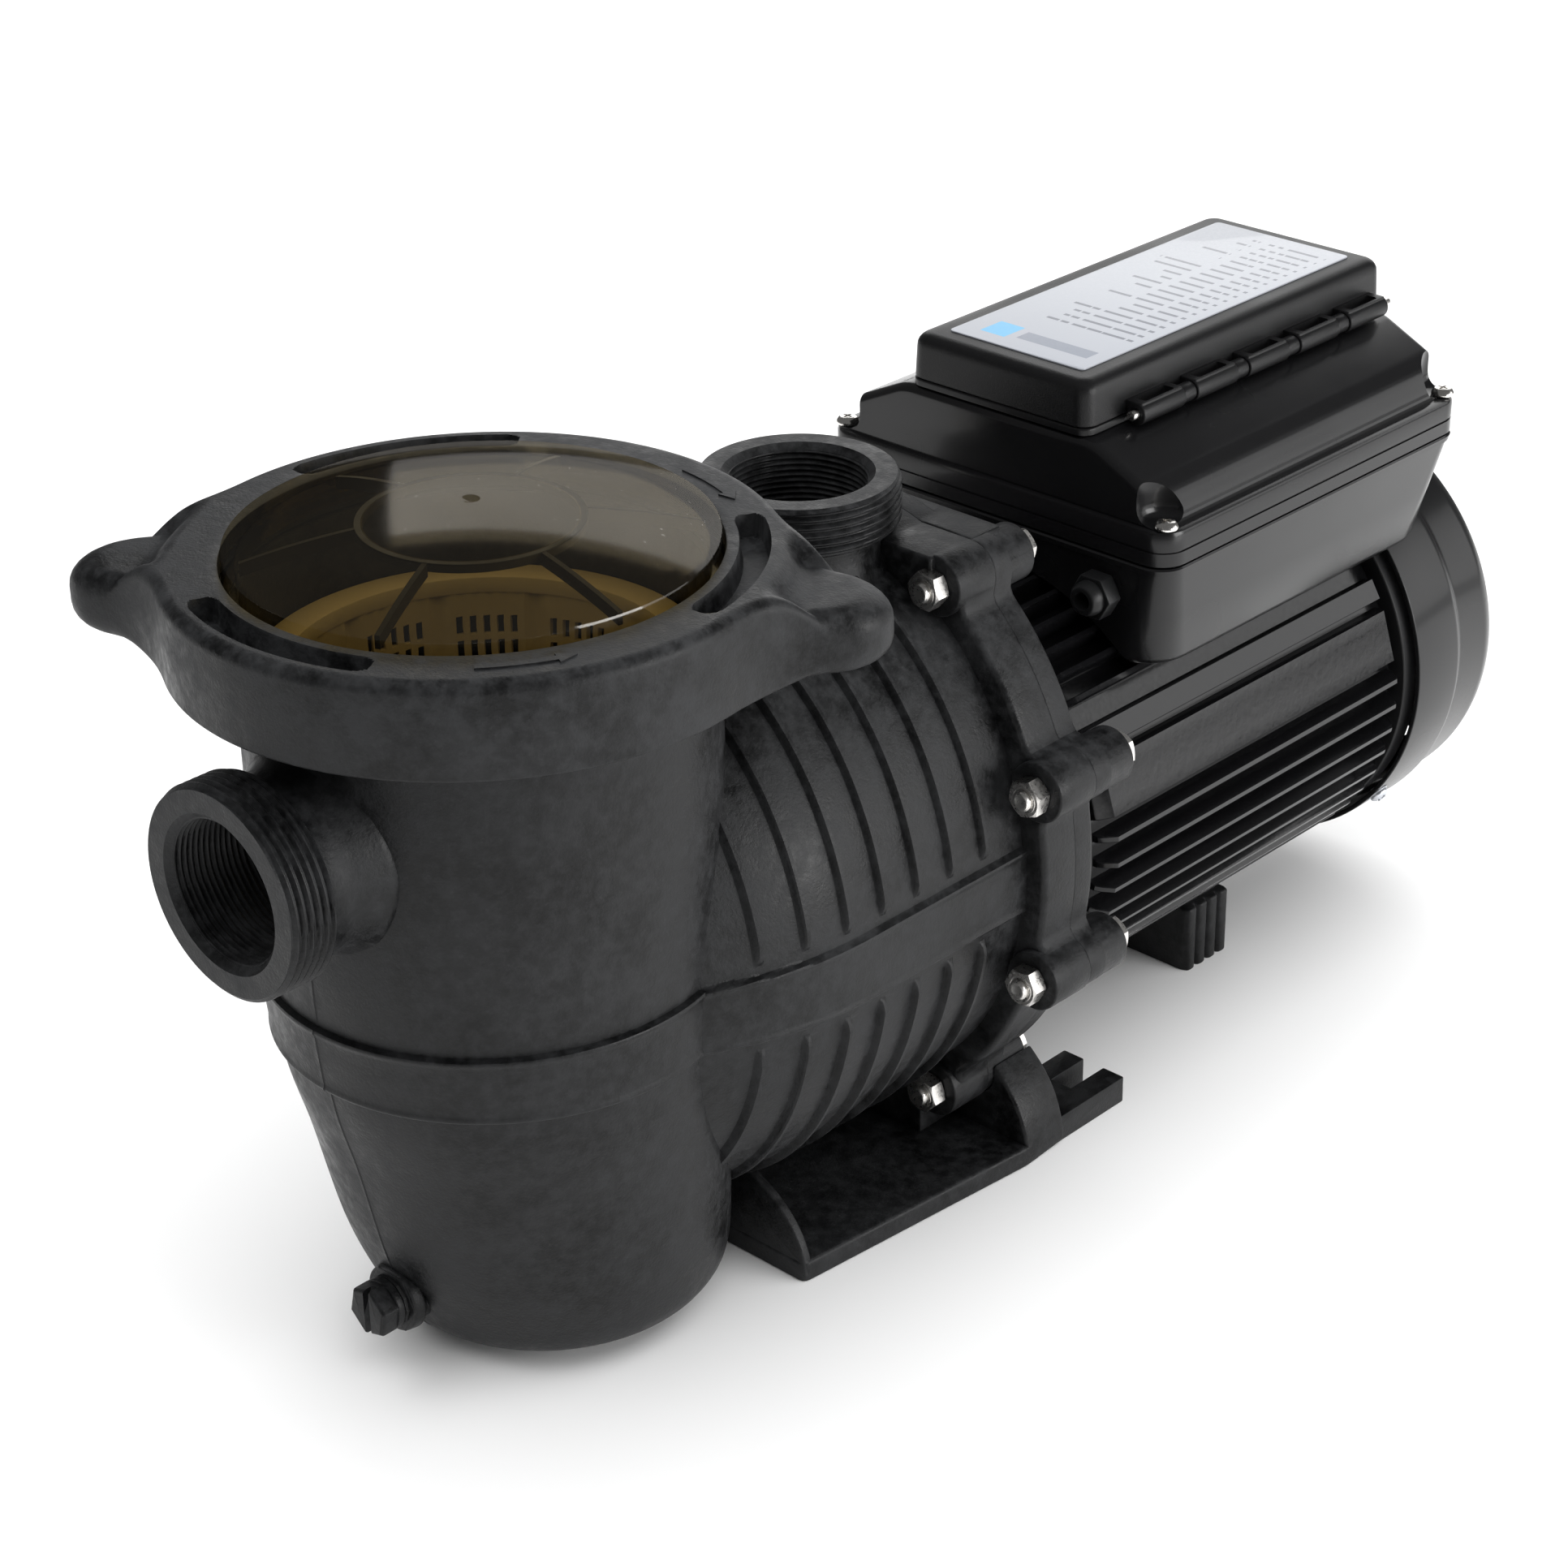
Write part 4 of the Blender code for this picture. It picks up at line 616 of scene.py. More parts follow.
def plain_matt(name, colour, rough):
    """Rubber, ceramic and other parts inside: a mottled plain colour."""
    paint = Paint(name)
    cloud = paint.noise(90.0, 3.0)
    shade = paint.mix(cloud, tone(colour, 0.8), tone(colour, 1.2))
    paint.body(Base_Color=shade, Roughness=cloud.ramp(0.3, 0.7, rough - 0.08, rough + 0.06),
               Normal=paint.bump(paint.noise(1200.0), 0.15, 0.0002))
    return paint.done()


def board_lacquer(name, colour):
    """Green lacquer with paler tracks."""
    paint = Paint(name)
    x, y, _ = paint.split()
    tracks = ((x / 0.006).wrap(1.0) < 0.3) * ((y / 0.019).wrap(1.0) > 0.25)
    shade = paint.mix(tracks, tone(colour), tone(colour, 1.8))
    paint.body(Base_Color=shade, Roughness=paint.noise(80.0).ramp(0.3, 0.7, 0.25, 0.4))
    return paint.done()


def label_film(name, colour, low, high):
    """White film printed with plain bars: a wide coloured one and rows of grey ones that end
    at uneven lengths."""
    paint = Paint(name)
    x, y, _ = paint.split()
    long_way = (y - low[1] * MM) / ((high[1] - low[1]) * MM)
    cross = (high[0] * MM - x) / ((high[0] - low[0]) * MM)
    row = (long_way * 26.0).floor()
    in_row = (long_way * 26.0).wrap(1.0)
    ends = paint.node("ShaderNodeTexWhiteNoise", {"noise_dimensions": "1D"}, {"W": row * 3.7 + 1.3})
    length = Wire(paint, ends.outputs[0]).ramp(0.0, 1.0, 0.45, 0.93)
    pieces = paint.noise(260.0, 1.0, 0.5, paint.place((1.0, 0.02, 1.0)))
    grey = ((in_row > 0.34) * (in_row < 0.62) * (long_way > 0.20) * (long_way < 0.95)
            * (cross > 0.07) * (cross < length) * (pieces > 0.40))
    bar = (long_way > 0.06) * (long_way < 0.105) * (cross > 0.10) * (cross < 0.62)
    spot = (long_way > 0.045) * (long_way < 0.12) * (cross > 0.68) * (cross < 0.86)
    fine = paint.noise(900.0)
    base = paint.mix(fine.ramp(0.3, 0.7), tone(colour, 0.97), tone(colour))
    inked = paint.mix(grey * 0.85, base, (0.07, 0.08, 0.10, 1.0))
    barred = paint.mix(bar * 0.85, inked, (0.16, 0.18, 0.22, 1.0))
    shade = paint.mix(spot * 0.85, barred, (0.06, 0.36, 0.62, 1.0))
    paint.body(Base_Color=shade, Roughness=fine.ramp(0.3, 0.7, 0.32, 0.42), Coat_Weight=0.25)
    return paint.done()


# ---- the wet end -----------------------------------------------------------------------
# height, radius and lean of the pot wall, level by level
POT_LEVELS = [(6.0, 46.0, 18.0), (7.6, 54.5, 18.0), (12.5, 60.6, 17.9), (22.0, 64.6, 17.0),
              (47.0, 69.2, 12.0), (87.0, 73.6, 7.0), (118.0, 77.0, 2.4), (160.0, 79.0, 0.0),
              (210.0, 79.2, 0.0), (262.0, 79.2, 0.0)]
DRAIN_Z = 30.0
DRAIN_FACE = POT_Y - 57.0
POT_WALL = 4.5
POT_RIM_R = 85.0
BOLT_HOLE_R = 4.3


def belt_step(offset, half=BELT_HALF):
    """Height of the belt over the wall: flat between its edges, with a low bead along each edge."""
    away = np.abs(offset)
    flat = np.clip((half + 0.5 - away) / 0.7, 0.0, 1.0) * BELT_PROUD
    bead = np.exp(-((away - (half - 1.2)) / 1.1) ** 2) * 0.7 * (away < half + 0.3)
    return flat + bead


def pot_net(inset=0.0, belt=True, low=6.0, high=262.0):
    """Pot wall: circles whose radius and lean follow the level table, less the inset, with the
    belt added round them and a fine parting ridge down the front."""
    levels = flow(POT_LEVELS, 500)
    rows = [np.linspace(low, low + 18, 14), np.linspace(low + 20, 120, 22)]
    if belt:
        edges = np.array([-13.4, -13.0, -12.6, -12.2, -11.6, -11.0, -10.2, -9.0, -4.0])
        rows.append(np.concatenate([BODY_Z + edges, BODY_Z - edges[::-1]]))
    rows.append(np.linspace(153, high, 12))
    z = np.unique(np.clip(np.concatenate(rows), low, high))
    radius = np.interp(z, levels[:, 0], levels[:, 1]) - inset
    lean = np.interp(z, levels[:, 0], levels[:, 2])
    if belt:
        radius = radius + belt_step(z - BODY_Z)
    front = math.radians(270.0)
    beside = front + np.array([-0.008, -0.004, 0.0, 0.004, 0.008])
    angle = np.sort(np.concatenate([circle(144, 0.01), beside]))
    ridge = np.zeros_like(angle)
    if belt:
        ridge = 0.35 * np.exp(-((np.angle(np.exp(1j * (angle - front)))) / 0.004) ** 2)
    wide = radius[:, None] + ridge[None]
    y = POT_Y + lean[:, None] + wide * np.sin(angle)[None]
    return stand("Z", wide * np.cos(angle)[None], y, z[:, None])


def volute_swell(y):
    """Share of the full section at each place along the shaft."""
    share = (y - VOLUTE_START) / (JOINT_Y - VOLUTE_START)
    return 1.0 - 0.22 * np.clip(1.0 - share / 0.42, 0.0, 1.0) ** 2


def rib_height(y, first, pitch, count, wide, proud):
    """Rounded ribs at equal steps along the shaft."""
    place = first + pitch * np.clip(np.round((y - first) / pitch), 0, count - 1)
    away = np.abs(y - place)
    return proud * np.clip((wide / 2 + 0.55 - away) / 0.75, 0.0, 1.0) ** 0.7


RIB_FIRST = POT_Y + 41.0
RIB_PITCH = 17.5
RIB_COUNT = 7


def volute_net(inset=0.0, start=VOLUTE_START, end=FLANGE_FRONT + 2.0, dressed=True):
    """Volute wall: upright ellipses that swell towards the flange. Ribs stand out of it at equal
    steps, stop short of the belt and fade where the wall meets the pot."""
    rows = [np.linspace(start, end, 26)]
    if dressed:
        steps = np.array([-1.9, -1.55, -1.2, -0.7, 0.0, 0.7, 1.2, 1.55, 1.9])
        ribs = RIB_FIRST + RIB_PITCH * np.arange(RIB_COUNT)
        rows.append((ribs[:, None] + steps[None]).ravel())
    y = np.unique(np.clip(np.concatenate(rows), start, end))
    near = np.radians(np.linspace(-11.0, 11.0, 61))
    far = np.radians(np.linspace(11.0, 169.0, 76))[1:-1]
    angle = np.concatenate([near, far, near + math.pi, far + math.pi]) if dressed else circle(96)
    swell = volute_swell(y)[:, None]
    half_x = VOLUTE_HALF_X * swell - inset
    half_z = VOLUTE_HALF_Z * swell - inset
    offset = half_z * np.sin(angle)[None]
    if dressed:
        clear = np.clip((np.abs(offset) - 16.5) / 5.0, 0.0, 1.0)
        ribs = rib_height(y, RIB_FIRST, RIB_PITCH, RIB_COUNT, 2.2, 2.7)[:, None] * clear ** 0.6
        half_x = half_x + ribs + belt_step(offset)
        half_z = half_z + ribs
    return stand("Y", half_x * np.cos(angle)[None], BODY_Z + half_z * np.sin(angle)[None], y[:, None])


def thread_net(axis, centre, low, high, radius, pitch, depth, count=120, fade=1.2):
    """Threaded bar: the radius falls by a blunt saw-tooth of the place along the axis over the
    pitch, less the turn of the angle, so one ridge winds round as a helix; it fades at the ends."""
    rows = max(8, int((high - low) / pitch * 8))
    place = np.linspace(low, high, rows + 1)[:, None]
    angle = circle(count)[None]
    phase = (place / pitch - angle / TURN) % 1.0
    tooth = np.clip(np.abs(phase - 0.5) * 3.2 - 0.3, 0.0, 1.0)
    ends = np.clip((place - low) / fade, 0.0, 1.0) * np.clip((high - place) / fade, 0.0, 1.0)
    wide = radius - depth * (tooth * ends + (1 - ends))
    return stand(axis, centre[0] + wide * np.cos(angle), centre[1] + wide * np.sin(angle), place)


def flange_outline(grow=0.0, count=288):
    """Flange edge: for each angle the radius where an ellipse and the round bosses, blended
    together, end."""
    half_x, half_z = 103.0 + grow, 119.5 + grow

    def distance(u, v):
        plate = (np.sqrt((u / half_x) ** 2 + (v / half_z) ** 2) - 1.0) * min(half_x, half_z)
        for x, z in BOSSES:
            reach = math.hypot(x, z - BODY_Z)
            along = np.clip((u * x + v * (z - BODY_Z)) / reach, reach - 16.0, reach)
            boss = np.hypot(u - along * x / reach, v - along * (z - BODY_Z) / reach) - (11.4 + grow)
            plate = smooth_min(plate, boss, 5.0)
        return plate

    angle, radius = polar_edge(distance, count, 150.0, 0.007)
    return np.stack([radius * np.cos(angle), BODY_Z + radius * np.sin(angle)], axis=-1)


FOOT_FRONT_X = 70.5
FOOT_REAR_X = 81.5
TAB_X = 79.8


def foot_web(centre_x, half_x, high, front, back, edge):
    """Upright web whose sides bulge: the top half of an ellipse carried along the shaft."""
    turn = np.linspace(0.0, math.pi / 2, 17)
    side = np.stack([centre_x + half_x * np.cos(turn), 3.0 + high * np.sin(turn)], axis=-1)
    return slab(mirrored(side), front, back, "Y", edge, edge)


def foot_solids():
    """Shelf that widens to the back, a thin bulging web in front, a thick one behind and two
    slotted tabs."""
    front = POT_Y + 75.0
    back = POT_Y + 212.0
    side = np.array([(FOOT_FRONT_X, front), (FOOT_REAR_X, POT_Y + 187.0), (TAB_X, back)])
    nets = [slab(soften(mirrored(side), 3.0, 3, closed=True), 0.0, 8.5, "Z", 1.0, 1.6)]
    nets.append(foot_web(19.0, FOOT_FRONT_X - 19.0, 37.0, front + 0.4, front + 4.4, 1.0))
    nets.append(foot_web(27.0, FOOT_REAR_X - 27.2, 46.0, POT_Y + 187.0, POT_Y + 209.0, 1.6))
    nets.append(box_net((-44.0, FLANGE_FRONT + 1.0, 4.0), (44.0, JOINT_Y - 0.4, 40.0), 1.0, "Y", 1.0))
    fingers = ((50.0, 60.0, 247.0), (69.5, TAB_X, 247.0), (50.0, TAB_X, 227.0))
    for way in (-1.0, 1.0):
        for x0, x1, end in fingers:
            tab = box_net((x0, back - 14, 0.0), (x1, POT_Y + end, 11.0), 0.5, "Z", 0.8)
            nets.append(tab * np.array([way, 1.0, 1.0]))
    return [solid(net) for net in nets]


def port_solids():
    """Both threaded ports with their necks, as turned solids."""
    face, top = SUCTION_FACE, DISCHARGE_TOP
    suction = (0.0, SUCTION_Z)
    discharge = (0.0, DISCHARGE_Y)
    parts = [solid(thread_net("Y", suction, face, face + THREAD_LONG, PORT_R, 3.0, 1.5)),
             solid(lathe([(0.0, face + THREAD_LONG - 1.5), (PORT_R - 1.6, face + THREAD_LONG - 1.5),
                          (PORT_R - 1.6, face + THREAD_LONG), (NECK_R + 0.6, face + THREAD_LONG + 1.2),
                          (NECK_R, face + THREAD_LONG + 4), (NECK_R, POT_Y - 82), (NECK_R + 5, POT_Y - 74),
                          (NECK_R + 5, POT_Y - 66), (0.0, POT_Y - 66)], "Y", suction, 96)),
             solid(thread_net("Z", discharge, top - THREAD_LONG, top, PORT_R, 3.0, 1.5)),
             solid(lathe([(0.0, 205.0), (NECK_R + 3, 205.0), (NECK_R + 3, 240.0), (NECK_R, 247.0),
                          (NECK_R, top - THREAD_LONG - 2), (PORT_R - 1.6, top - THREAD_LONG),
                          (PORT_R - 1.6, top - THREAD_LONG + 1.5), (0.0, top - THREAD_LONG + 1.5)],
                         "Z", discharge, 96))]
    bores = [solid(thread_net("Y", suction, face + 2.0, face + 32.0, BORE_R + 0.6, 2.2, 1.0, 96, 0.6)),
             solid(lathe([(0.0, face - 4.0), (29.6, face - 4.0), (27.3, face), (BORE_R + 0.2, face + 2.4),
                          (0.0, face + 2.4)], "Y", suction, 96)),
             solid(rod(BORE_R - 1.4, face + 30, POT_Y - 60, "Y", suction, 64)),
             solid(thread_net("Z", discharge, top - 32.0, top - 2.0, BORE_R + 0.6, 2.2, 1.0, 96, 0.6)),
             solid(lathe([(0.0, top - 2.4), (BORE_R + 0.2, top - 2.4), (27.3, top), (29.6, top + 4.0),
                          (0.0, top + 4.0)], "Z", discharge, 96)),
             solid(rod(BORE_R - 1.4, 208.0, top - 30, "Z", discharge, 64))]
    return parts, bores


def drain_solids():
    """Flared drain boss with a collar at its mouth."""
    face = DRAIN_FACE
    boss = soften([(0.0, face), (12.2, face), (12.8, face + 4.5), (10.6, face + 6.0), (11.2, face + 14),
                   (16.0, face + 20), (0.0, face + 20)], 0.8, 3)
    collar = hexagon(21.5) + np.array([0.0, DRAIN_Z])
    return [solid(lathe(boss, "Y", (0.0, DRAIN_Z), 48)),
            solid(slab(collar, face - 0.2, face + 2.4, "Y", 0.5, 0.5))]


def port_web(front, back):
    """Block that runs from the discharge neck out to the upper flange bosses, sloping down to
    their tops on both sides."""
    x1, z1 = BOSSES[1][0], BOSSES[1][1] + 11.4
    outline = np.array([(-x1, z1), (-22.0, 251.0), (22.0, 251.0), (x1, z1), (x1, z1 - 16.0),
                        (-x1, z1 - 16.0)])
    outline = soften(outline[::-1], [2, 2, 2, 9, 9, 2], 3, closed=True)
    return solid(slab(outline, front, back, "Y", 1.2, 0.6))


class PUMP_OT_housing(bpy.types.Operator):
    """Builds the pot, volute, ports, flange and foot as one moulding."""

    bl_idname = "pump.housing"
    bl_label = "Pump housing"

    def execute(self, context):
        sizes = context.scene.pump_sizes
        finish = filled_plastic("black_filled_plastic", context.scene.pump_colours.moulding, sizes.matt)
        body = solid(pot_net(), "housing_shell")
        rim = [(60.0, 256.0), (POT_RIM_R, 256.0), (POT_RIM_R, 279.6), (83.6, 281.0), (60.0, 281.0)]
        ports, bores = port_solids()
        flange = solid(slab(flange_outline(), FLANGE_FRONT, JOINT_Y, "Y", 2.4, 0.5, 5))
        bosses = [solid(rod(11.5, NUT_HIGH[1] + 0.3, JOINT_Y, "Y", place, 40, 0.8)) for place in BOSSES]
        fuse(body, solid(volute_net()), solid(lathe(rim, "Z", (0.0, POT_Y), 128), loop=True), *ports,
             flange, *bosses, *drain_solids(), *foot_solids(), port_web(FLANGE_FRONT - 5.0, JOINT_Y))
        inner = [solid(pot_net(POT_WALL, False, 11.0, 255.0)),
                 solid(rod(75.5, 250.0, 290.0, "Z", (0.0, POT_Y), 128)),
                 solid(volute_net(5.0, POT_Y + 90.0, JOINT_Y + 5.0, False)),
                 solid(rod(26.0, POT_Y + 60, POT_Y + 95, "Y", (0.0, SHAFT_Z), 64)),
                 solid(rod(6.2, POT_Y - 62, POT_Y - 30, "Y", (0.0, DRAIN_Z), 32))]
        holes = [solid(rod(BOLT_HOLE_R, FLANGE_FRONT - 14, JOINT_Y + 5, "Y", place, 20))
                 for place in BOSSES]
        room = solid(slab(flange_outline(0.1), JOINT_Y + 0.1, PLATE_HIGH[1] + 6.0, "Y"))
        carve(body, room, *inner, *bores, *holes)
        dress(body, "pump", "filled_plastic", finish, "pump_housing")
        return {"FINISHED"}


class PUMP_OT_seal_plate(bpy.types.Operator):
    """Builds the rear half of the wet end, with its bosses and its dished back."""

    bl_idname = "pump.seal_plate"
    bl_label = "Seal plate"

    def execute(self, context):
        sizes = context.scene.pump_sizes
        finish = filled_plastic("black_plate_plastic", context.scene.pump_colours.moulding, sizes.matt)
        front = JOINT_Y + 0.03
        plate = solid(slab(flange_outline(-0.4), front, JOINT_Y + 11.0, "Y", 0.9, 2.2, 5),
                      "seal_plate_shell")
        bosses = [solid(rod(10.8, front, PLATE_HIGH[1], "Y", place, 40, 0.8)) for place in BOSSES]
        angle = circle(160)
        start = JOINT_Y + 8.0
        rows = []
        for back in np.linspace(0.0, 1.0, 9):
            fall = 1.0 - (1 - math.cos(back * math.pi / 2)) * 0.17
            centre_z = BODY_Z + (SHAFT_Z - BODY_Z) * np.sin(back * math.pi / 2) ** 1.5
            rows.append(stand("Y", 101.0 * fall * np.cos(angle), centre_z + 116.0 * fall * np.sin(angle),
                              start + (PLATE_HIGH[1] - start) * back))
        fuse(plate, *bosses, solid(np.stack(rows)), port_web(front, PLATE_HIGH[1] - 6.0))
        room = solid(rod(PORT_R + 1.0, 240.0, 280.0, "Z", (0.0, DISCHARGE_Y), 96))
        bore = solid(rod(11.5, JOINT_Y - 10, PLATE_HIGH[1] + 5, "Y", (0.0, SHAFT_Z), 48))
        holes = [solid(rod(BOLT_HOLE_R, JOINT_Y - 5, PLATE_HIGH[1] + 5, "Y", place, 20))
                 for place in BOSSES]
        carve(plate, room, bore, *holes)
        dress(plate, "pump", "filled_plastic", finish, "seal_plate")
        return {"FINISHED"}


# ---- the lid of the pot ----------------------------------------------------------------
RING_R = 102.0
RING_SKIRT_R = 97.0
RING_FACE_R = 97.5
LOBE_REACH = 135.75
LOBE_TIP_R = 17.0
LOBE_BASE_R = 31.0
LOBE_LONG = 40.0
SLOT_R = 90.5
SLOT_HALF_WIDE = 4.6
SLOT_DEEP = 8.0
HANDLE_TURN = math.radians(34.5)
SLOT_MIDDLES = np.radians([33.0, 153.0, 273.0])
SLOT_HALF = math.radians(25.0)


def ring_distance(x, y):
    """Signed distance in plan: the ring's circle blended with two tapering lobes."""
    distance = np.hypot(x, y) - RING_R
    slope = (LOBE_BASE_R - LOBE_TIP_R) / LOBE_LONG
    rise = math.sqrt(1 - slope * slope)
    for turn in (HANDLE_TURN, HANDLE_TURN + math.pi):
        along = x * math.cos(turn) + y * math.sin(turn)
        u = np.abs(-x * math.sin(turn) + y * math.cos(turn))
        v = along - (LOBE_REACH - LOBE_TIP_R - LOBE_LONG)
        k = -slope * u + rise * v
        lobe = np.where(k < 0, np.hypot(u, v) - LOBE_BASE_R,
                        np.where(k > rise * LOBE_LONG, np.hypot(u, v - LOBE_LONG) - LOBE_TIP_R,
                                 u * rise + v * slope - LOBE_BASE_R))
        distance = smooth_min(distance, lobe, 16.0)
    return distance


def ring_net(inner, top, low):
    """Lock ring: at each angle a closed section runs up the inner wall, out over the flat top,
    down over the rounded edge and the skirt, and back under. The lobes' top falls away from the
    ring's face, and arc slots are sunk into the face."""
    angle, edge = polar_edge(ring_distance, 600, 150.0)
    lobe = ease(np.clip((edge - RING_R) / 20.0, 0.0, 1.0))
    rim = 4.5 + 7.5 * lobe
    flat_end = edge - rim
    even = np.ones_like(edge)
    ledge = top - 5.2
    rows = [(inner * even, ledge * even), (inner * even, (top - 0.8) * even),
            ((inner + 0.3) * even, (top - 0.2) * even)]
    stations = [81.9, 84.9, 85.3, 85.7, 86.1, 86.5, 87.3, 88.5, SLOT_R, 92.5, 93.7, 94.5, 94.9, 95.3,
                95.7, 96.1, 97.2]
    turn = np.angle(np.exp(1j * (angle[:, None] - SLOT_MIDDLES[None])))
    over = np.clip(np.abs(turn) - SLOT_HALF + 0.05, 0.0, None) * SLOT_R
    for r in stations:
        away = np.hypot(over, r - SLOT_R).min(axis=1) - SLOT_HALF_WIDE
        rows.append((r * even, top - SLOT_DEEP * np.clip((0.25 - away) / 0.5, 0.0, 1.0)))
    fall = 9.0 * lobe

    def face(r):
        return top - fall * ease(np.clip((r - RING_FACE_R) / 11.0, 0.0, 1.0))

    for part in np.linspace(0.0, 1.0, 9)[1:]:
        r = RING_FACE_R + (flat_end - RING_FACE_R) * part
        r = np.maximum(r, 97.4 + 0.01 * part)
        rows.append((r, face(r)))
    crown = face(np.maximum(flat_end, RING_FACE_R))
    drop = 4.5 + 5.0 * lobe
    for t in np.linspace(0.0, math.pi / 2, 8)[1:]:
        rows.append((flat_end + rim * math.sin(t), crown - drop * (1 - math.cos(t))))
    base = low + 2.0 * lobe
    under = 1.2 + 6.0 * lobe
    for t in np.linspace(0.0, math.pi / 2, 6):
        rows.append((edge - under * (1 - math.cos(t)), base + under * (1 - math.sin(t))))
    skirt = RING_SKIRT_R * even
    roof = (top - 8.4) * even
    rows += [(skirt + 0.3, base), (skirt, base + 0.4), (skirt, roof), (skirt - 3.0, roof),
             ((inner + 4.0) * even, roof), ((inner + 3.0) * even, ledge * even)]
    return np.stack([stand("Z", r * np.cos(angle), POT_Y + r * np.sin(angle), z) for r, z in rows])


def arrow_net(radius, start, end, top, wide=2.8, head=6.5):
    """Raised arrow bent round the ring: a band along an arc that ends in a point."""
    sweep = np.radians(end - start)
    share = np.array([0.0, 0.2, 0.4, 0.6, 0.8])
    neck = start + (end - start) * 0.8
    outer = [(radius + wide / 2, math.radians(start) + sweep * s) for s in share]
    inner = [(radius - wide / 2, math.radians(start) + sweep * s) for s in share[::-1]]
    tip = [(radius + head / 2, math.radians(neck)), (radius, math.radians(end)),
           (radius - head / 2, math.radians(neck))]
    line = np.array(outer + tip + inner)
    outline = np.stack([line[:, 0] * np.cos(line[:, 1]), POT_Y + line[:, 0] * np.sin(line[:, 1])], axis=-1)
    return slab(outline, top - 0.6, top + 0.55, "Z")


class PUMP_OT_lock_ring(bpy.types.Operator):
    """Builds the lock ring with its lobes, slots and turn arrows."""

    bl_idname = "pump.lock_ring"
    bl_label = "Lock ring"

    def execute(self, context):
        sizes = context.scene.pump_sizes
        finish = filled_plastic("black_ring_plastic", context.scene.pump_colours.moulding,
                                sizes.matt + 0.04, 0.75)
        ring = solid(ring_net(WINDOW_HIGH[0] - 4.3 + 0.8, RING_HIGH[2], RING_LOW[2]), "lock_ring_shell",
                     loop=True, sharp=40.0)
        arrows = [solid(arrow_net(SLOT_R, start, end, RING_HIGH[2]), "turn_arrow")
                  for start, end in ((318.0, 338.0), (86.0, 66.0))]
        fuse(ring, *arrows, sharp=40.0)
        dress(ring, "lock_ring", "ring_plastic", finish, "lock_ring")
        return {"FINISHED"}


DOME_R = 80.2
DOME_EDGE_Z = 297.5
DOME_THICK = 4.0
STIFFENER_RING_R = 36.0
STIFFENER_TURN = -65.0


def dome_height(radius):
    """Height of the dome's outer face: a shallow spherical cap with a dimple."""
    high = WINDOW_HIGH[2] - DOME_EDGE_Z
    ball = (DOME_R ** 2 + high ** 2) / (2 * high)
    cap = WINDOW_HIGH[2] - ball + np.sqrt(ball ** 2 - radius ** 2)
    dimple = 1.1 * np.exp(-(radius / 2.2) ** 2)
    return cap - dimple - 0.05


class PUMP_OT_window(bpy.types.Operator):
    """Builds the domed window with its ring and radial stiffeners underneath."""

    bl_idname = "pump.window"
    bl_label = "Domed window"

    def execute(self, context):
        colours = context.scene.pump_colours
        clear = smoky_window("smoky_amber_window", colours.window, 0.05)
        # painted shade: the stiffeners are of the window's clear amber plastic, and this near-black matt
        # finish paints the dark look that light through them gives
        dark = plain_matt("stiffener_painted_shade", (0.010, 0.008, 0.004), 0.62)
        radius = np.concatenate([[0.0], np.linspace(0.6, 6.0, 10), np.linspace(8.0, 79.0, 30), [79.9]])
        outer = np.stack([radius, dome_height(radius)], axis=-1)
        side = soften([(79.9, dome_height(79.9)), (DOME_R, 296.8), (DOME_R, 287.6), (84.5, 287.6),
                       (84.5, 284.2), (76.0, 284.2), (76.0, 293.6)],
                      [0.3, 0.5, 0.4, 0.5, 0.5, 0.5, 0.5], 3)
        under = np.linspace(74.0, 0.0, 16)
        inner = np.stack([under, dome_height(under) - DOME_THICK], axis=-1)
        profile = np.concatenate([outer, side, inner])
        window = Skin().net(lathe(profile, "Z", (0.0, POT_Y), 144), caps=False)
        window = window.piece("window_dome", 40.0)
        dress(window, "window_lid", "smoky_amber", clear, "lid_window")
        ring_in, ring_out = STIFFENER_RING_R - 1.3, STIFFENER_RING_R + 1.3
        stiff = Skin()
        high = float(dome_height(STIFFENER_RING_R)) - 3.9
        stiff.net(lathe([(ring_in, high - 3.0), (ring_out, high - 3.0), (ring_out, high), (ring_in, high)],
                        "Z", (0.0, POT_Y), 96), loop=True)
        across = np.array([(-0.9, -4.5), (0.9, -4.5), (0.9, 0.0), (-0.9, 0.0)])
        along = np.linspace(STIFFENER_RING_R + 1.2, 74.5, 8)
        top = dome_height(along) - 3.9
        for turn in np.radians(np.arange(6) * 60.0 + STIFFENER_TURN):
            x = along[:, None] * math.cos(turn) - across[None, :, 0] * math.sin(turn)
            y = along[:, None] * math.sin(turn) + across[None, :, 0] * math.cos(turn)
            stiff.net(stand("Z", x, POT_Y + y, top[:, None] + across[None, :, 1]))
        ribs = stiff.piece("window_stiffeners")
        # the stiffeners wear the near-black finish of painted shade
        dress(ribs, "window_lid", "smoky_amber", dark)
        return {"FINISHED"}


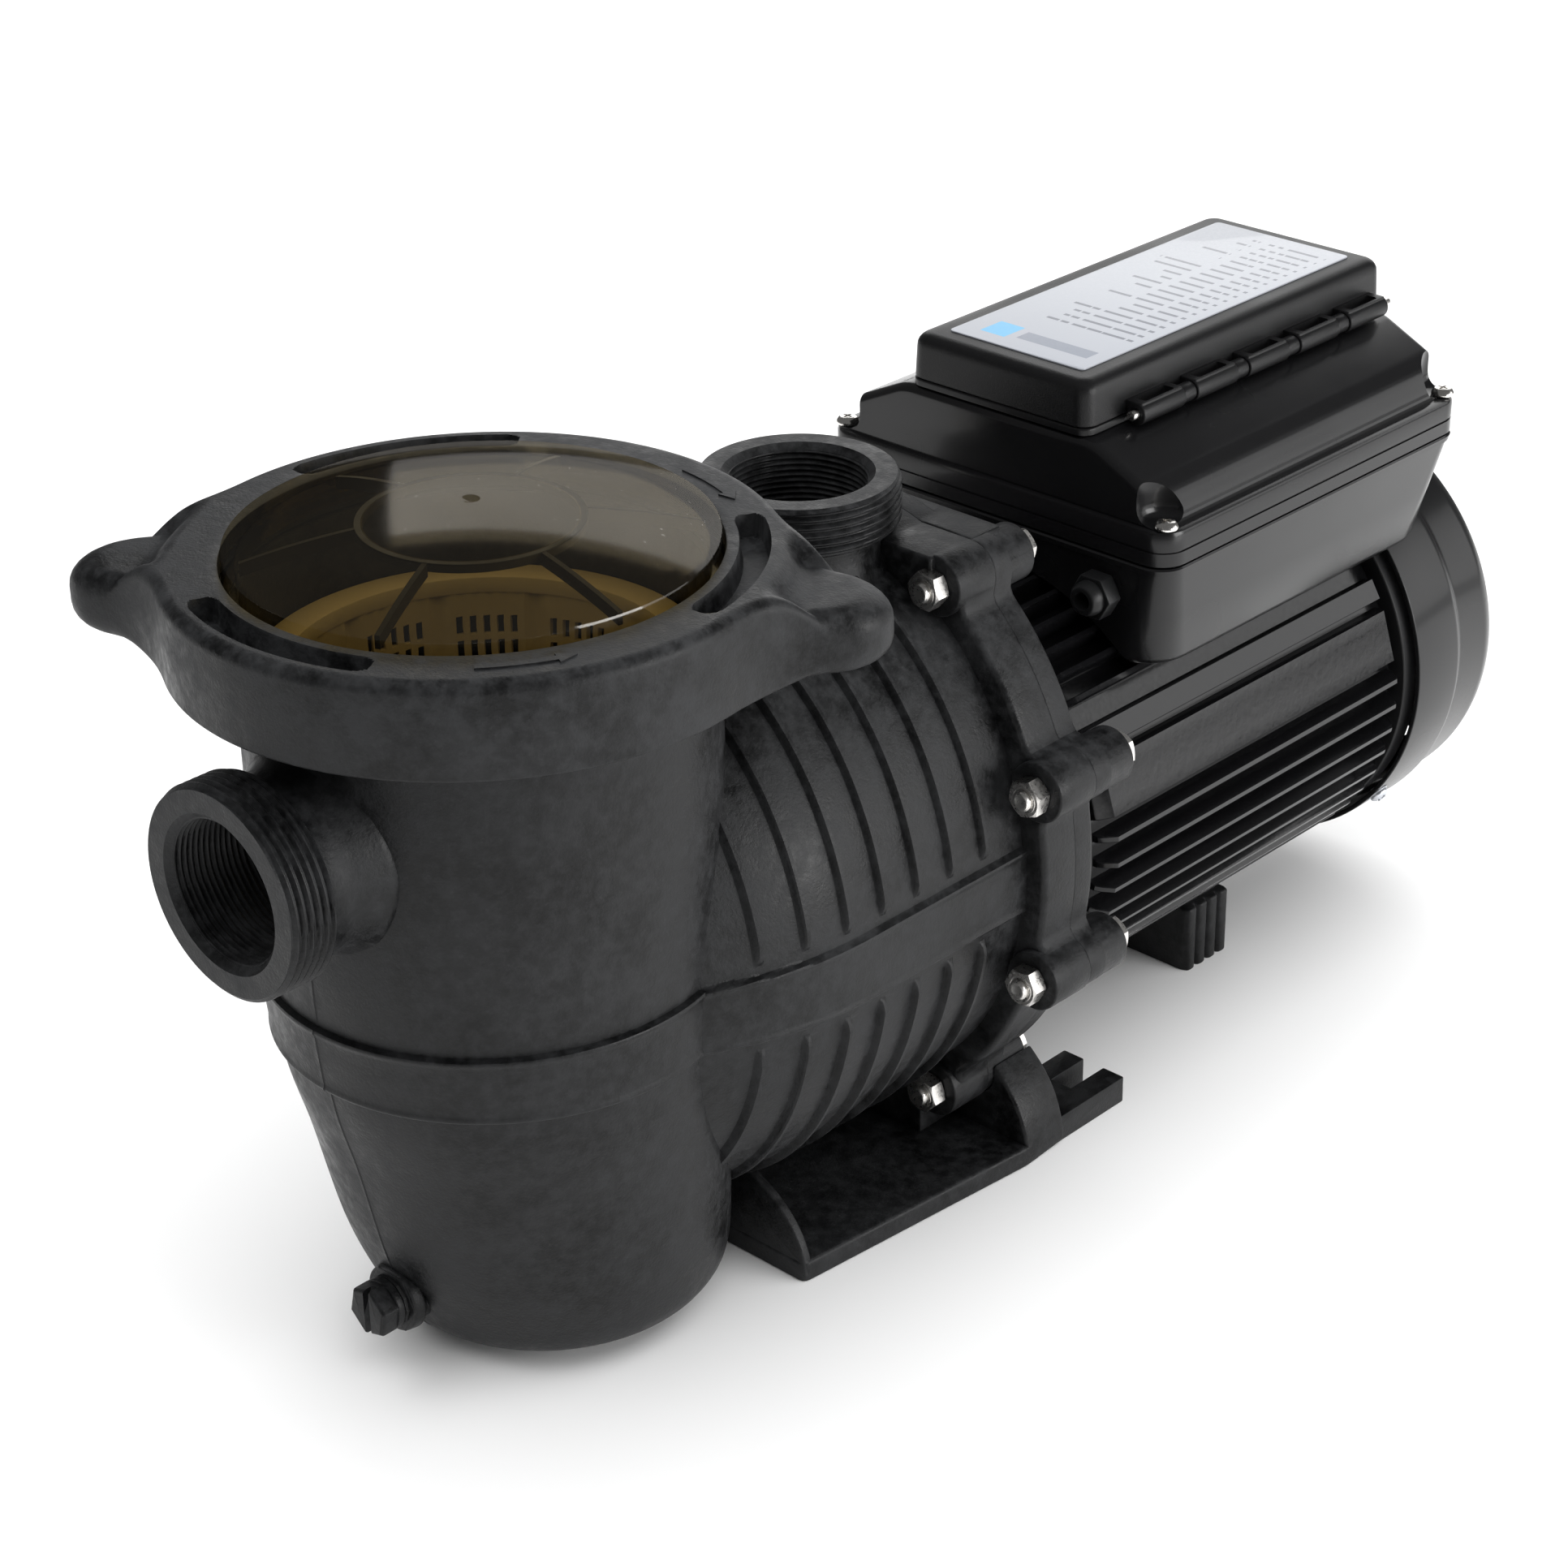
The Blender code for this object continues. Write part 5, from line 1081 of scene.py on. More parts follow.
class PUMP_OT_basket(bpy.types.Operator):
    """Builds the strainer basket: a tapering wall with panels of slots, a rim and a floor."""

    bl_idname = "pump.basket"
    bl_label = "Strainer basket"

    def execute(self, context):
        finish = basket_plastic("basket_natural", context.scene.pump_colours.basket)
        low, high = BASKET_LOW[2] + 1.2, BASKET_HIGH[2] - 5.0
        rim_r = BASKET_HIGH[0]
        top_r, low_r = 64.2, 50.6
        columns, rows = 168, 84
        angle = circle(columns)[None]
        z = np.linspace(low, high, rows + 1)[:, None]
        panel = (np.arange(columns) % 14)
        swell = (1.6 * np.isin(panel, (0, 1)) + 0.5 * np.isin(panel, (3, 5, 7, 9, 11, 13)))[None]
        radius = low_r + (top_r - low_r) * (z - low) / (high - low) + swell
        grid = stand("Z", radius * np.cos(angle), POT_Y + radius * np.sin(angle), z)
        slot_column = np.isin(panel, (3, 5, 7, 9, 11))
        slot_row = (np.arange(rows) % 4 > 0) & (np.arange(rows) > 3) & (np.arange(rows) < rows - 3)
        keep = ~(slot_row[:, None] & slot_column[None])
        middle_z = (z[:-1] + z[1:]) / 2
        turn = np.angle(np.exp(1j * (angle + TURN / columns / 2 + math.pi / 2)))
        inlet = (turn * 63.0) ** 2 + (middle_z - SUCTION_Z) ** 2 < 22.0 ** 2
        wall = Skin().cells(grid, keep & ~inlet)
        floor_r = np.linspace(4.0, low_r, 9)[:, None]
        flat = stand("Z", floor_r * np.cos(angle), POT_Y + floor_r * np.sin(angle), low)
        floor_keep = ~((np.arange(8) % 2 == 1)[:, None] & (np.arange(columns) % 12 > 2)[None])
        wall.cells(flat, floor_keep)
        basket = wall.piece("basket_wall", 60.0, 1e-6)
        thick = basket.modifiers.new("wall", "SOLIDIFY")
        thick.thickness = 2.0 * MM
        thick.offset = 0.0
        settle(basket)
        soft_shade(basket, 40.0)
        dress(basket, "basket", "basket_plastic", finish, "strainer_basket")
        rim = Skin()
        lip = soften([(63.0, high - 0.5), (66.4, high - 0.5), (66.4, high + 1.0), (rim_r, high + 1.0),
                      (rim_r, BASKET_HIGH[2]), (64.0, BASKET_HIGH[2])], 0.5, 2, closed=True)
        hub = [(0.01, low - 1.0), (5.0, low - 1.0), (5.0, low + 1.0), (0.01, low + 1.0)]
        rim.net(lathe(lip, "Z", (0.0, POT_Y), 96), loop=True)
        rim.net(lathe(hub, "Z", (0.0, POT_Y), 32), loop=True)
        dress(rim.piece("basket_rim"), "basket", "basket_plastic", finish)
        return {"FINISHED"}


class PUMP_OT_drain_plug(bpy.types.Operator):
    """Builds the slotted drain plug."""

    bl_idname = "pump.drain_plug"
    bl_label = "Drain plug"

    def execute(self, context):
        finish = filled_plastic("black_plug_plastic", context.scene.pump_colours.moulding,
                                context.scene.pump_sizes.matt, 0.4)
        (_, front, _), (_, back, _) = span("drain_plug")
        face = DRAIN_FACE
        centre = np.array([0.0, DRAIN_Z])
        plug = solid(slab(hexagon(17.0, 0.3) + centre, front + 0.2, face - 4.2, "Y", 1.4, 0.4),
                     "drain_plug_skin")
        collar = solid(rod(9.6, face - 4.8, face - 1.9, "Y", centre, 48, 0.5))
        shank = solid(rod(5.2, face - 3, back - 0.2, "Y", centre, 32, 0.5))
        fuse(plug, collar, shank)
        slot = solid(box_net((-1.5, front - 5, DRAIN_Z - 14), (1.5, front + 4.6, DRAIN_Z + 14), 0.2, "Z",
                             0.3))
        carve(plug, slot)
        dress(plug, "drain_plug", "filled_plastic", finish, "drain_plug")
        return {"FINISHED"}


# ---- the motor -------------------------------------------------------------------------
BASE_R = 78.0
TIP_R = 87.0
FIN_HALF = 0.85
SIDE_FIN_PITCH = 7.3
TOP_FIN_PITCH = 6.9


def fin_section():
    """Angles, radii and fin share round the motor, counted from the top down each side: broad
    flat pads under the controller, then slim fins to the bottom."""
    marks = []
    for side in (1, -1):
        for low, high, radius in ((56.0, 62.0, TIP_R - 1.0), (65.0, 79.5, TIP_R - 1.0)):
            marks.append((90 - side * low, 90 - side * high, radius))
        places = [85.0 + SIDE_FIN_PITCH * k for k in range(13)] + [TOP_FIN_PITCH * k for k in range(1, 8)]
        marks += [(90 - side * (place - FIN_HALF), 90 - side * (place + FIN_HALF), TIP_R)
                  for place in places]
    marks += [(place - FIN_HALF, place + FIN_HALF, TIP_R) for place in (90.0, 270.0)]
    spots = [(0.0, BASE_R)]
    lines = {}
    for a, b, radius in marks:
        low, high = min(a, b), max(a, b)
        lines[low] = (low, high, radius)
    for low, high, radius in sorted(lines.values()):
        flat = np.linspace(low, high, 9 if high - low > 3 else 3)
        middle_turn = math.radians((low + high) / 2)
        face = radius * math.cos(math.radians(high - low) / 2) / np.cos(np.radians(flat) - middle_turn)
        spots += [(low - 0.45, BASE_R), (low - 0.20, BASE_R + 1.0)]
        spots += [(low + 0.0, face[0] - 0.9), (low + 0.25, face[0])]
        spots += list(zip(flat[1:-1], face[1:-1]))
        spots += [(high - 0.25, face[-1]), (high, face[-1] - 0.9)]
        spots += [(high + 0.20, BASE_R + 1.0), (high + 0.45, BASE_R)]
    table = np.array(sorted({round(a % 360.0, 4): r for a, r in spots}.items()))
    return np.radians(table[:, 0]), table[:, 1]


def motor_net():
    """Finned barrel: the fin section is carried along the shaft, and near both ends the fins
    ramp down to the barrel, which gives their saw-toothed ends."""
    angle, radius = fin_section()
    front, back = SHELL_LOW[1], SHELL_HIGH[1]
    y = np.array([front, front + 2.2, front + 2.4, front + 4.0, front + 7.5, (front + back) / 2,
                  back - 7.5, back - 4.5, back - 3.0, back - 2.0, back])
    share = np.array([0.0, 0.0, 0.35, 0.62, 1.0, 1.0, 1.0, 0.7, 0.4, 0.0, 0.0])
    wide = BASE_R + (radius - BASE_R)[None] * share[:, None]
    return stand("Y", wide * np.cos(angle)[None], SHAFT_Z + wide * np.sin(angle)[None], y[:, None])


class PUMP_OT_motor(bpy.types.Operator):
    """Builds the finned barrel and both end bells."""

    bl_idname = "pump.motor"
    bl_label = "Motor barrel"

    def execute(self, context):
        colours = context.scene.pump_colours
        paint = gloss_paint("gloss_black_paint", colours.paint, 0.16)
        barrel = solid(motor_net(), "motor_barrel", sharp=28.0)
        dress(barrel, "pump", "black_paint", paint, "motor_shell")
        satin = moulded_plastic("satin_black_paint", colours.paint, 0.42, 0.2)
        front = PLATE_HIGH[1] + 0.3
        end = SHELL_LOW[1] - 0.4
        back = SHELL_HIGH[1] + 0.4
        bells = {"front": (1.5, [(12.0, front), (62.0, front), (82.4, front + 4.5),
                                 (82.4, SHELL_LOW[1] - 1.6), (78.6, end), (12.0, end)]),
                 "rear": (1.0, [(30.0, back), (85.0, back), (85.0, back + 9.5), (82.5, back + 11.4),
                                (12.0, back + 11.4), (12.0, back + 4.0), (30.0, back + 4.0)])}
        for name, (edge, corners) in bells.items():
            profile = soften(corners, edge, 3, closed=True)
            bell = solid(lathe(profile, "Y", (0.0, SHAFT_Z), 144), f"{name}_bell_skin", loop=True)
            dress(bell, "pump", "box_plastic", satin, f"{name}_end_bell")
        return {"FINISHED"}


COVER_TURNS = (-38.0, 160.0, 218.0)
COVER_BIG_R = 89.4
COVER_SMALL_R = 86.4
COVER_STEP_Y = POT_Y + 450.0
COVER_SHEET = 2.0


def radial(net, turn_degrees, place_y):
    """Turns a net built round +Z at the shaft into place at an angle round the shaft."""
    a = math.radians(turn_degrees)
    x, y, z = net[..., 0], net[..., 1], net[..., 2]
    out_x = z * math.cos(a) - x * math.sin(a)
    out_z = SHAFT_Z + z * math.sin(a) + x * math.cos(a)
    return np.stack([out_x, place_y + y, out_z], axis=-1)


class PUMP_OT_fan_cover(bpy.types.Operator):
    """Builds the stepped fan cover with its air slots and small screws."""

    bl_idname = "pump.fan_cover"
    bl_label = "Fan cover"

    def execute(self, context):
        colours = context.scene.pump_colours
        finish = moulded_plastic("satin_cover_plastic", colours.satin, 0.30, 0.08, 0.25)
        front, back = COVER_LOW[1], COVER_HIGH[1]
        step, big, small = COVER_STEP_Y, COVER_BIG_R, COVER_SMALL_R
        big_in, small_in = big - COVER_SHEET, small - COVER_SHEET
        profile = soften([(0.0, back), (small_in, back), (small, back - 6.0), (small, step + 3.0),
                          (big, step - 0.5), (big, front), (big_in, front), (big_in, step - 1.5),
                          (small_in, step + 2.0), (small_in, back - 6.0), (small - 6.0, back - 2.0),
                          (0.0, back - 2.0)], [0, 5.5, 2, 2.0, 2.0, 0.5, 0.5, 1, 1, 1, 3, 0], 5)
        cover = Skin().net(lathe(profile, "Y", (0.0, SHAFT_Z), 160), caps=False)
        cover = cover.piece("fan_cover_skin", 40.0)
        slots = []
        for ring in range(6):
            inner = 18.0 + 10.0 * ring
            for k in range(8):
                first = TURN * k / 8 + 0.10 + 1.2 / inner
                last = TURN * (k + 1) / 8 - 0.10 + 0.02 * ring - 1.2 / inner
                arc = np.linspace(first, last, 9)
                way = np.stack([np.cos(arc), np.sin(arc)], axis=-1)
                outline = np.concatenate([(inner + 5.6) * way, (inner * way)[::-1]])
                slots.append(slab(outline + np.array([0.0, SHAFT_Z]), back - 4.0, back + 2.0, "Y"))
        carve(cover, solid(slots), sharp=40.0)
        dress(cover, "pump", "box_plastic", finish, "fan_cover")
        zinc = bright_metal("zinc_plate", colours.zinc, 0.32)
        screws = Skin()
        head = soften([(0.0, 92.3), (2.6, 92.1), (4.0, 90.9), (4.0, 89.7), (4.8, 89.7), (4.8, 89.3),
                       (1.8, 89.3), (1.8, 87.0), (0.0, 87.0)], [0, 0.8, 0.5, 0, 0.2, 0.2, 0, 0, 0], 3)
        for turn in COVER_TURNS:
            net = lathe(head, "Z", (0.0, 0.0), 24)
            screws.net(radial(net, turn, front + 4.0), caps=False)
            for wide, deep in ((2.2, 0.45), (0.45, 2.2)):
                bar = box_net((-wide, -deep, 91.9), (wide, deep, 92.6), 0.1, "Z", 0.2)
                screws.net(radial(bar, turn, front + 4.0))
        dress(screws.piece("fan_cover_screws"), "pump", "stainless_steel", zinc,
              *[f"fan_cover_screw_{k}" for k in range(1, 4)])
        return {"FINISHED"}


class PUMP_OT_rear_foot(bpy.types.Operator):
    """Builds the ribbed rear foot block and its saddle."""

    bl_idname = "pump.rear_foot"
    bl_label = "Rear foot"

    def execute(self, context):
        finish = filled_plastic("black_foot_plastic", context.scene.pump_colours.moulding,
                                context.scene.pump_sizes.matt, 0.35)
        half = FOOT_HIGH[0]
        y0, y1 = FOOT_LOW[1], FOOT_HIGH[1]
        side = []
        rib = ((2.6, -3.4), (0.3, -2.2), (0.0, 0.0), (0.3, 2.2), (2.6, 3.4))
        for k in range(4):
            centre = y0 + 3.6 + (y1 - y0 - 7.2) * k / 3
            side += [(half - sunk, centre + away) for sunk, away in rib]
        side = np.array([(half - 3.0, y0 + 0.2)] + side[1:-1] + [(half - 3.0, y1 - 0.2)])
        outline = soften(mirrored(side), 0.8, 2, closed=True)
        foot = solid(slab(outline, 0.0, 29.0, "Z", 0.6, 1.2), "rear_foot_skin")
        web = np.array([(-31.0, 20.0), (31.0, 20.0), (42.0, 56.0), (-42.0, 56.0)])
        saddle = solid(slab(soften(web, 3.0, 3, closed=True), y0 + 4, y1 - 4, "Y", 0.8, 0.8))
        post = solid(box_net((24.0, y0 + 9, 20.0), (31.0, y1 - 9, 60.0), 0.8, "Z", 1.0))
        fuse(foot, saddle, post)
        carve(foot, solid(rod(TIP_R + 0.3, y0 - 10, y1 + 10, "Y", (0.0, SHAFT_Z), 128)))
        dress(foot, "pump", "filled_plastic", finish, "rear_foot")
        return {"FINISHED"}


# ---- the controller --------------------------------------------------------------------
HOOD_SCREWS = [middle(f"cover_screw_{k}")[:2] for k in range(1, 5)]
SEAM_Z = float(TRAY_HIGH[2])
RIM_Z = SEAM_Z + 14.7
HOOD_TOP = float(HOOD_HIGH[2])
HOOD_HALF_Y = (HOOD_HIGH[1] - HOOD_LOW[1]) / 2
HOOD_CENTRE = (0.0, (HOOD_HIGH[1] + HOOD_LOW[1]) / 2)


def tray_net():
    """Tray wall: rounded rectangles that narrow and round off more towards the bottom."""
    rows = []
    depth = SEAM_Z - TRAY_LOW[2]
    for share, extra in ((0.0, 3.2), (0.01, 1.9), (0.035, 0.7), (0.08, 0.0), (0.5, 0.0), (0.93, 0.0),
                         (0.94, -0.55), (0.985, -0.55), (1.0, 0.0)):
        half_x = 76.0 + (TRAY_HIGH[0] - 76.4) * share - extra
        front = TRAY_LOW[1] + 4.5 * (1 - share) + extra + 0.05
        back = TRAY_HIGH[1] - 7.0 * (1 - share) - extra - 0.05
        corner = 19.0 - 8.0 * share
        outline = rounded_box(half_x, (back - front) / 2, corner, (0.0, (front + back) / 2), 8)
        z = TRAY_LOW[2] + depth * share
        rows.append(stand("Z", outline[:, 0], outline[:, 1], z))
    return np.stack(rows)


def hood_solids():
    """Hood: a straight rim, then a roof whose section has sloping sides and a flat top."""
    low = SEAM_Z + 0.5
    rim = rounded_box(HOOD_HIGH[0] - 0.05, HOOD_HALF_Y, 11.0, HOOD_CENTRE, 8)
    rim_rows = []
    for z, inset in ((low, 0.5), (low + 0.5, 0.0), (low + 5.6, 0.0), (low + 5.8, 0.6), (low + 6.4, 0.6),
                     (low + 6.6, 0.0), (RIM_Z - 1.6, 0.0), (RIM_Z - 0.5, 0.5), (RIM_Z, 1.8)):
        outline = shrink(rim, inset)
        rim_rows.append(stand("Z", outline[:, 0], outline[:, 1], z))
    side = np.array([(78.4, RIM_Z - 3.0), (78.4, RIM_Z + 3.2), (71.8, 250.2), (45.5, HOOD_TOP - 0.1)])
    section = soften(mirrored(side), [0.2, 3.0, 9.0, 5.0, 5.0, 9.0, 3.0, 0.2], 5, closed=True)
    roof = slab(section, HOOD_LOW[1] + 2.0, HOOD_HIGH[1] - 2.0, "Y", 3.6, 3.6, 5)
    return solid(np.stack(rim_rows), "controller_hood"), solid(roof)


SCOOP_LEAN = 0.22


def scoop(place):
    """Round-bottomed cutter for the recess above a corner screw, leaning out of the corner."""
    x, y = place
    rows = [(0.0, 0.0), (5.0, 0.0), (9.2, 1.2), (11.6, 4.0), (12.6, 8.0), (13.4, 14.0), (15.0, 26.0),
            (17.0, 34.0), (0.0, 34.0)]
    net = lathe(soften(rows, [0, 2, 2, 2, 3, 5, 3, 0, 0], 3), "Z", (x, y), 40)
    outward = np.array([math.copysign(SCOOP_LEAN, x), math.copysign(SCOOP_LEAN, y - HOOD_CENTRE[1]), 0.0])
    lean = net[..., 2:] * outward
    net = net + lean + np.array([0.0, 0.0, RIM_Z])
    return Skin().net(net, caps=False).piece("scoop")


def pan_screw(place, base):
    """Pan head on its shank; the cross recess is cut later."""
    profile = soften([(0.0, base - 12), (1.9, base - 12), (1.9, base + 0.3), (4.5, base + 0.3),
                      (4.5, base + 1.4), (3.4, base + 3.0), (0.0, base + 3.4)],
                     [0, 0.2, 0, 0.4, 0.9, 1.2, 0], 3)
    return lathe(profile, "Z", place, 32)


class PUMP_OT_controller(bpy.types.Operator):
    """Builds the controller's tray, hood and corner screws."""

    bl_idname = "pump.controller"
    bl_label = "Controller box"

    def execute(self, context):
        colours = context.scene.pump_colours
        finish = moulded_plastic("satin_box_plastic", colours.satin, 0.24, 0.10, 0.2)
        tray = solid(tray_net(), "controller_tray")
        front, back = TRAY_LOW[1], TRAY_HIGH[1]
        saddle = solid(rod(TIP_R + 1.3, front - 10, back + 10, "Y", (0.0, SHAFT_Z), 128))
        room = solid(rod(COVER_HIGH[0] + 1.6, SHELL_HIGH[1] - 6, back + 10, "Y", (0.0, SHAFT_Z), 128))
        centre = (0.0, (front + SHELL_HIGH[1] - 9) / 2 + 2.0)
        pocket = solid(slab(rounded_box(74.0, (SHELL_HIGH[1] - 18 - front) / 2, 6.0, centre),
                            SHAFT_Z + TIP_R + 4.0, SEAM_Z + 5, "Z"))
        gland = solid(rod(6.3, front - 5, front + 14, "Y", middle("cable_gland")[[0, 2]], 40))
        carve(tray, saddle, room, pocket, gland)
        dress(tray, "pump", "box_plastic", finish, "controller_base")
        hood, roof = hood_solids()
        fuse(hood, roof)
        inside = np.array([(73.0, SEAM_Z - 5), (73.0, RIM_Z - 3.0), (67.5, 246.0), (43.0, HOOD_TOP - 3.2)])
        hollow = solid(slab(mirrored(inside), HOOD_LOW[1] + 13, HOOD_HIGH[1] - 13, "Y"))
        groove = solid(slab(rounded_box(HOOD_HIGH[0] - 3.6, HOOD_HALF_Y - 3.6, 6.5, HOOD_CENTRE),
                            SEAM_Z - 5, SEAM_Z + 2.0, "Z"))
        opening = solid(slab(rounded_box(36.0, HOOD_HALF_Y - 24, 5.0, HOOD_CENTRE), RIM_Z, HOOD_TOP + 5,
                             "Z"))
        holes = [solid(rod(2.3, SEAM_Z - 5, HOOD_TOP, "Z", place, 16)) for place in HOOD_SCREWS]
        scoops = [scoop(place) for place in HOOD_SCREWS]
        carve(hood, hollow, groove, opening, *scoops, *holes)
        dress(hood, "pump", "box_plastic", finish, "controller_cover")
        steel = bright_metal("pan_head_steel", colours.steel, 0.2)
        screws = [Skin().net(pan_screw(place, RIM_Z), caps=False).piece("pan_screw")
                  for place in HOOD_SCREWS]
        crosses = []
        for x, y in HOOD_SCREWS:
            for wide, deep in ((2.1, 0.5), (0.5, 2.1)):
                crosses.append(solid(box_net((x - wide, y - deep, RIM_Z + 1.9),
                                             (x + wide, y + deep, RIM_Z + 8), 0.1, "Z", 0.15)))
        first, *others = screws
        first.name = "cover_screws"
        fuse(first, *others)
        for k in range(0, len(crosses), 2):
            carve(first, crosses[k], crosses[k + 1])
        dress(first, "pump", "stainless_steel", steel, *[f"cover_screw_{k}" for k in range(1, 5)])
        return {"FINISHED"}


PIN_X = 47.8
PIN_Z = 267.2
KNUCKLE_FIRST = POT_Y + 282.0
KNUCKLE_PITCH = 32.4
KNUCKLE_LONG = 25.0
KEY_PLACES = [middle(f"key_{k}")[:2] for k in range(1, 5)]
PIN_BORE_R = 2.2
PANEL_TOP = 266.0
LID_BOTTOM = 266.3
LID_TOP = 283.6
LID_HALF_X = 43.0


class PUMP_OT_control_lid(bpy.types.Operator):
    """Builds the hinged lid with its knuckles, the label and the pin."""

    bl_idname = "pump.control_lid"
    bl_label = "Keypad lid"

    def execute(self, context):
        colours = context.scene.pump_colours
        textured = moulded_plastic("textured_lid_plastic", colours.satin, 0.40, 0.5)
        low, top, half_x = LID_BOTTOM, LID_TOP, LID_HALF_X
        front, back = LID_LOW[1], LID_HIGH[1]
        centre = (0.0, (front + back) / 2)
        half_y = (back - front) / 2
        rows = [(low, 0.3), (low + 0.4, 0.0), (top - 5.5, 0.5)]
        rows += [(top - 5.0 + 5.0 * math.sin(t), 0.5 + 5.0 * (1 - math.cos(t)))
                 for t in np.linspace(0.0, math.pi / 2, 7)[1:]]
        nets = []
        for z, inset in rows:
            corner = max(0.8, 6.5 - 0.6 * inset)
            outline = rounded_box(half_x - inset, half_y - inset, corner, centre, 7)
            nets.append(stand("Z", outline[:, 0], outline[:, 1], z))
        lid = solid(np.stack(nets), "keypad_lid")
        inside = rounded_box(half_x - 2.5, half_y - 2.5, 4.0, centre)
        hollow = solid(slab(inside, low - 5, top - 2.5, "Z", 0.0, 1.5))
        carve(lid, hollow)
        knuckles, reliefs, windows = [], [], []
        for k in range(5):
            y0 = KNUCKLE_FIRST + KNUCKLE_PITCH * k
            y1 = y0 + KNUCKLE_LONG
            knuckles.append(solid(rod(4.35, y0, y1, "Y", (PIN_X, PIN_Z), 40, 0.5)))
            knuckles.append(solid(box_net((half_x - 2, y0 + 0.2, PIN_Z + 0.4),
                                          (PIN_X + 2.6, y1 - 0.2, PIN_Z + 4.4), 0.4)))
            windows.append(solid(box_net((PIN_X - 3.8, y0 + 3.8, PIN_Z + 1.0),
                                         (PIN_X + 1.4, y1 - 3.8, PIN_Z + 8), 0.2)))
            if k < 4:
                reliefs.append(solid(rod(4.6, y1 + 0.05, y0 + KNUCKLE_PITCH - 0.05, "Y", (PIN_X, PIN_Z), 32)))
        fuse(lid, *knuckles)
        bore = solid(rod(PIN_BORE_R, KNUCKLE_FIRST - 20, back + 20, "Y", (PIN_X, PIN_Z), 24))
        under = solid(box_net((half_x - 9, front - 5, low - 10), (half_x + 1.2, back + 5, low), 0.1))
        carve(lid, bore, under, *reliefs, *windows)
        dress(lid, "control_lid", "box_plastic", textured, "control_lid")
        film = label_film("printed_label", colours.label, LABEL_LOW, LABEL_HIGH)
        outline = rounded_box(32.3, (LABEL_HIGH[1] - LABEL_LOW[1]) / 2, 2.0,
                              (0.0, (LABEL_HIGH[1] + LABEL_LOW[1]) / 2), 5)
        label = solid(slab(outline, top + 0.02, top + 0.5, "Z", 0.0, 0.15, 2), "label_film")
        dress(label, "control_lid", "label_film", film, "rating_label")
        steel = bright_metal("pin_steel", colours.steel, 0.25)
        pin = solid(rod(1.9, KNUCKLE_FIRST - 3, back - 4, "Y", (PIN_X, PIN_Z), 24, 0.4), "lid_pin")
        dress(pin, "pump", "stainless_steel", steel, "hinge_pin")
        return {"FINISHED"}


class PUMP_OT_keypad(bpy.types.Operator):
    """Builds the keypad panel with its display window and four keys."""

    bl_idname = "pump.keypad"
    bl_label = "Keypad"

    def execute(self, context):
        colours = context.scene.pump_colours
        finish = moulded_plastic("panel_plastic", colours.satin, 0.34, 0.3)
        low, top = HOOD_TOP + 0.3, PANEL_TOP
        front, back = PANEL_LOW[1], PANEL_HIGH[1]
        centre = (0.0, (front + back) / 2)
        outline = rounded_box(LID_HALF_X, (back - front) / 2, 6.0, centre, 7)
        panel = solid(slab(outline, low, top, "Z", 0.0, 0.8), "keypad_plate")
        knuckles = []
        for k in range(4):
            y0 = KNUCKLE_FIRST + KNUCKLE_PITCH * k + KNUCKLE_LONG + 0.4
            y1 = y0 + KNUCKLE_PITCH - KNUCKLE_LONG - 0.8
            knuckles.append(solid(rod(3.7, y0, y1, "Y", (PIN_X, PIN_Z), 32, 0.3)))
            knuckles.append(solid(box_net((40.0, y0 + 0.1, low), (PIN_X, y1 - 0.1, PIN_Z - 1.0), 0.2)))
        fuse(panel, *knuckles)
        bore = solid(rod(PIN_BORE_R, KNUCKLE_FIRST - 20, back + 20, "Y", (PIN_X, PIN_Z), 24))
        y0, y1 = POT_Y + 300.0, POT_Y + 384.0
        recess = solid(box_net((-32.0, y0, top - 1.2), (2.0, y1, top + 5), 0.1, "Z", 2.0))
        holes = [solid(rod(6.5, low - 5, top + 5, "Z", place, 40)) for place in KEY_PLACES]
        carve(panel, bore, recess, *holes)
        dress(panel, "pump", "box_plastic", finish, "keypad_panel")
        glass = gloss_paint("display_glass", colours.display, 0.08)
        screen = solid(box_net((-31.2, y0 + 0.8, top - 1.1), (1.2, y1 - 0.8, top - 0.5), 0.1, "Z", 1.6),
                       "display")
        dress(screen, "pump", "box_plastic", glass)
        rubber = moulded_plastic("key_plastic", colours.keys, 0.45, 0.3)
        profile = soften([(0.0, HOOD_TOP - 3.5), (7.9, HOOD_TOP - 3.5), (7.9, HOOD_TOP - 1.4),
                          (6.0, HOOD_TOP - 1.3), (6.0, top + 1.9), (4.4, top + 1.7), (0.0, top + 1.3)],
                         [0, 0.3, 0.3, 0.3, 0.9, 1.0, 0], 4)
        for k, place in enumerate(KEY_PLACES):
            key = Skin().net(lathe(profile, "Z", place, 40), caps=False).piece(f"keypad_key_{k + 1}")
            dress(key, f"key_{k + 1}", "grey_plastic", rubber, f"key_{k + 1}")
        return {"FINISHED"}


# ---- fasteners -------------------------------------------------------------------------
NUT_FLAT = 12.8
BOLT_R = 3.9
NUT_TURNS = (0.3, 0.9, 0.1, 0.7, 0.5, 0.2, 0.8, 0.05)


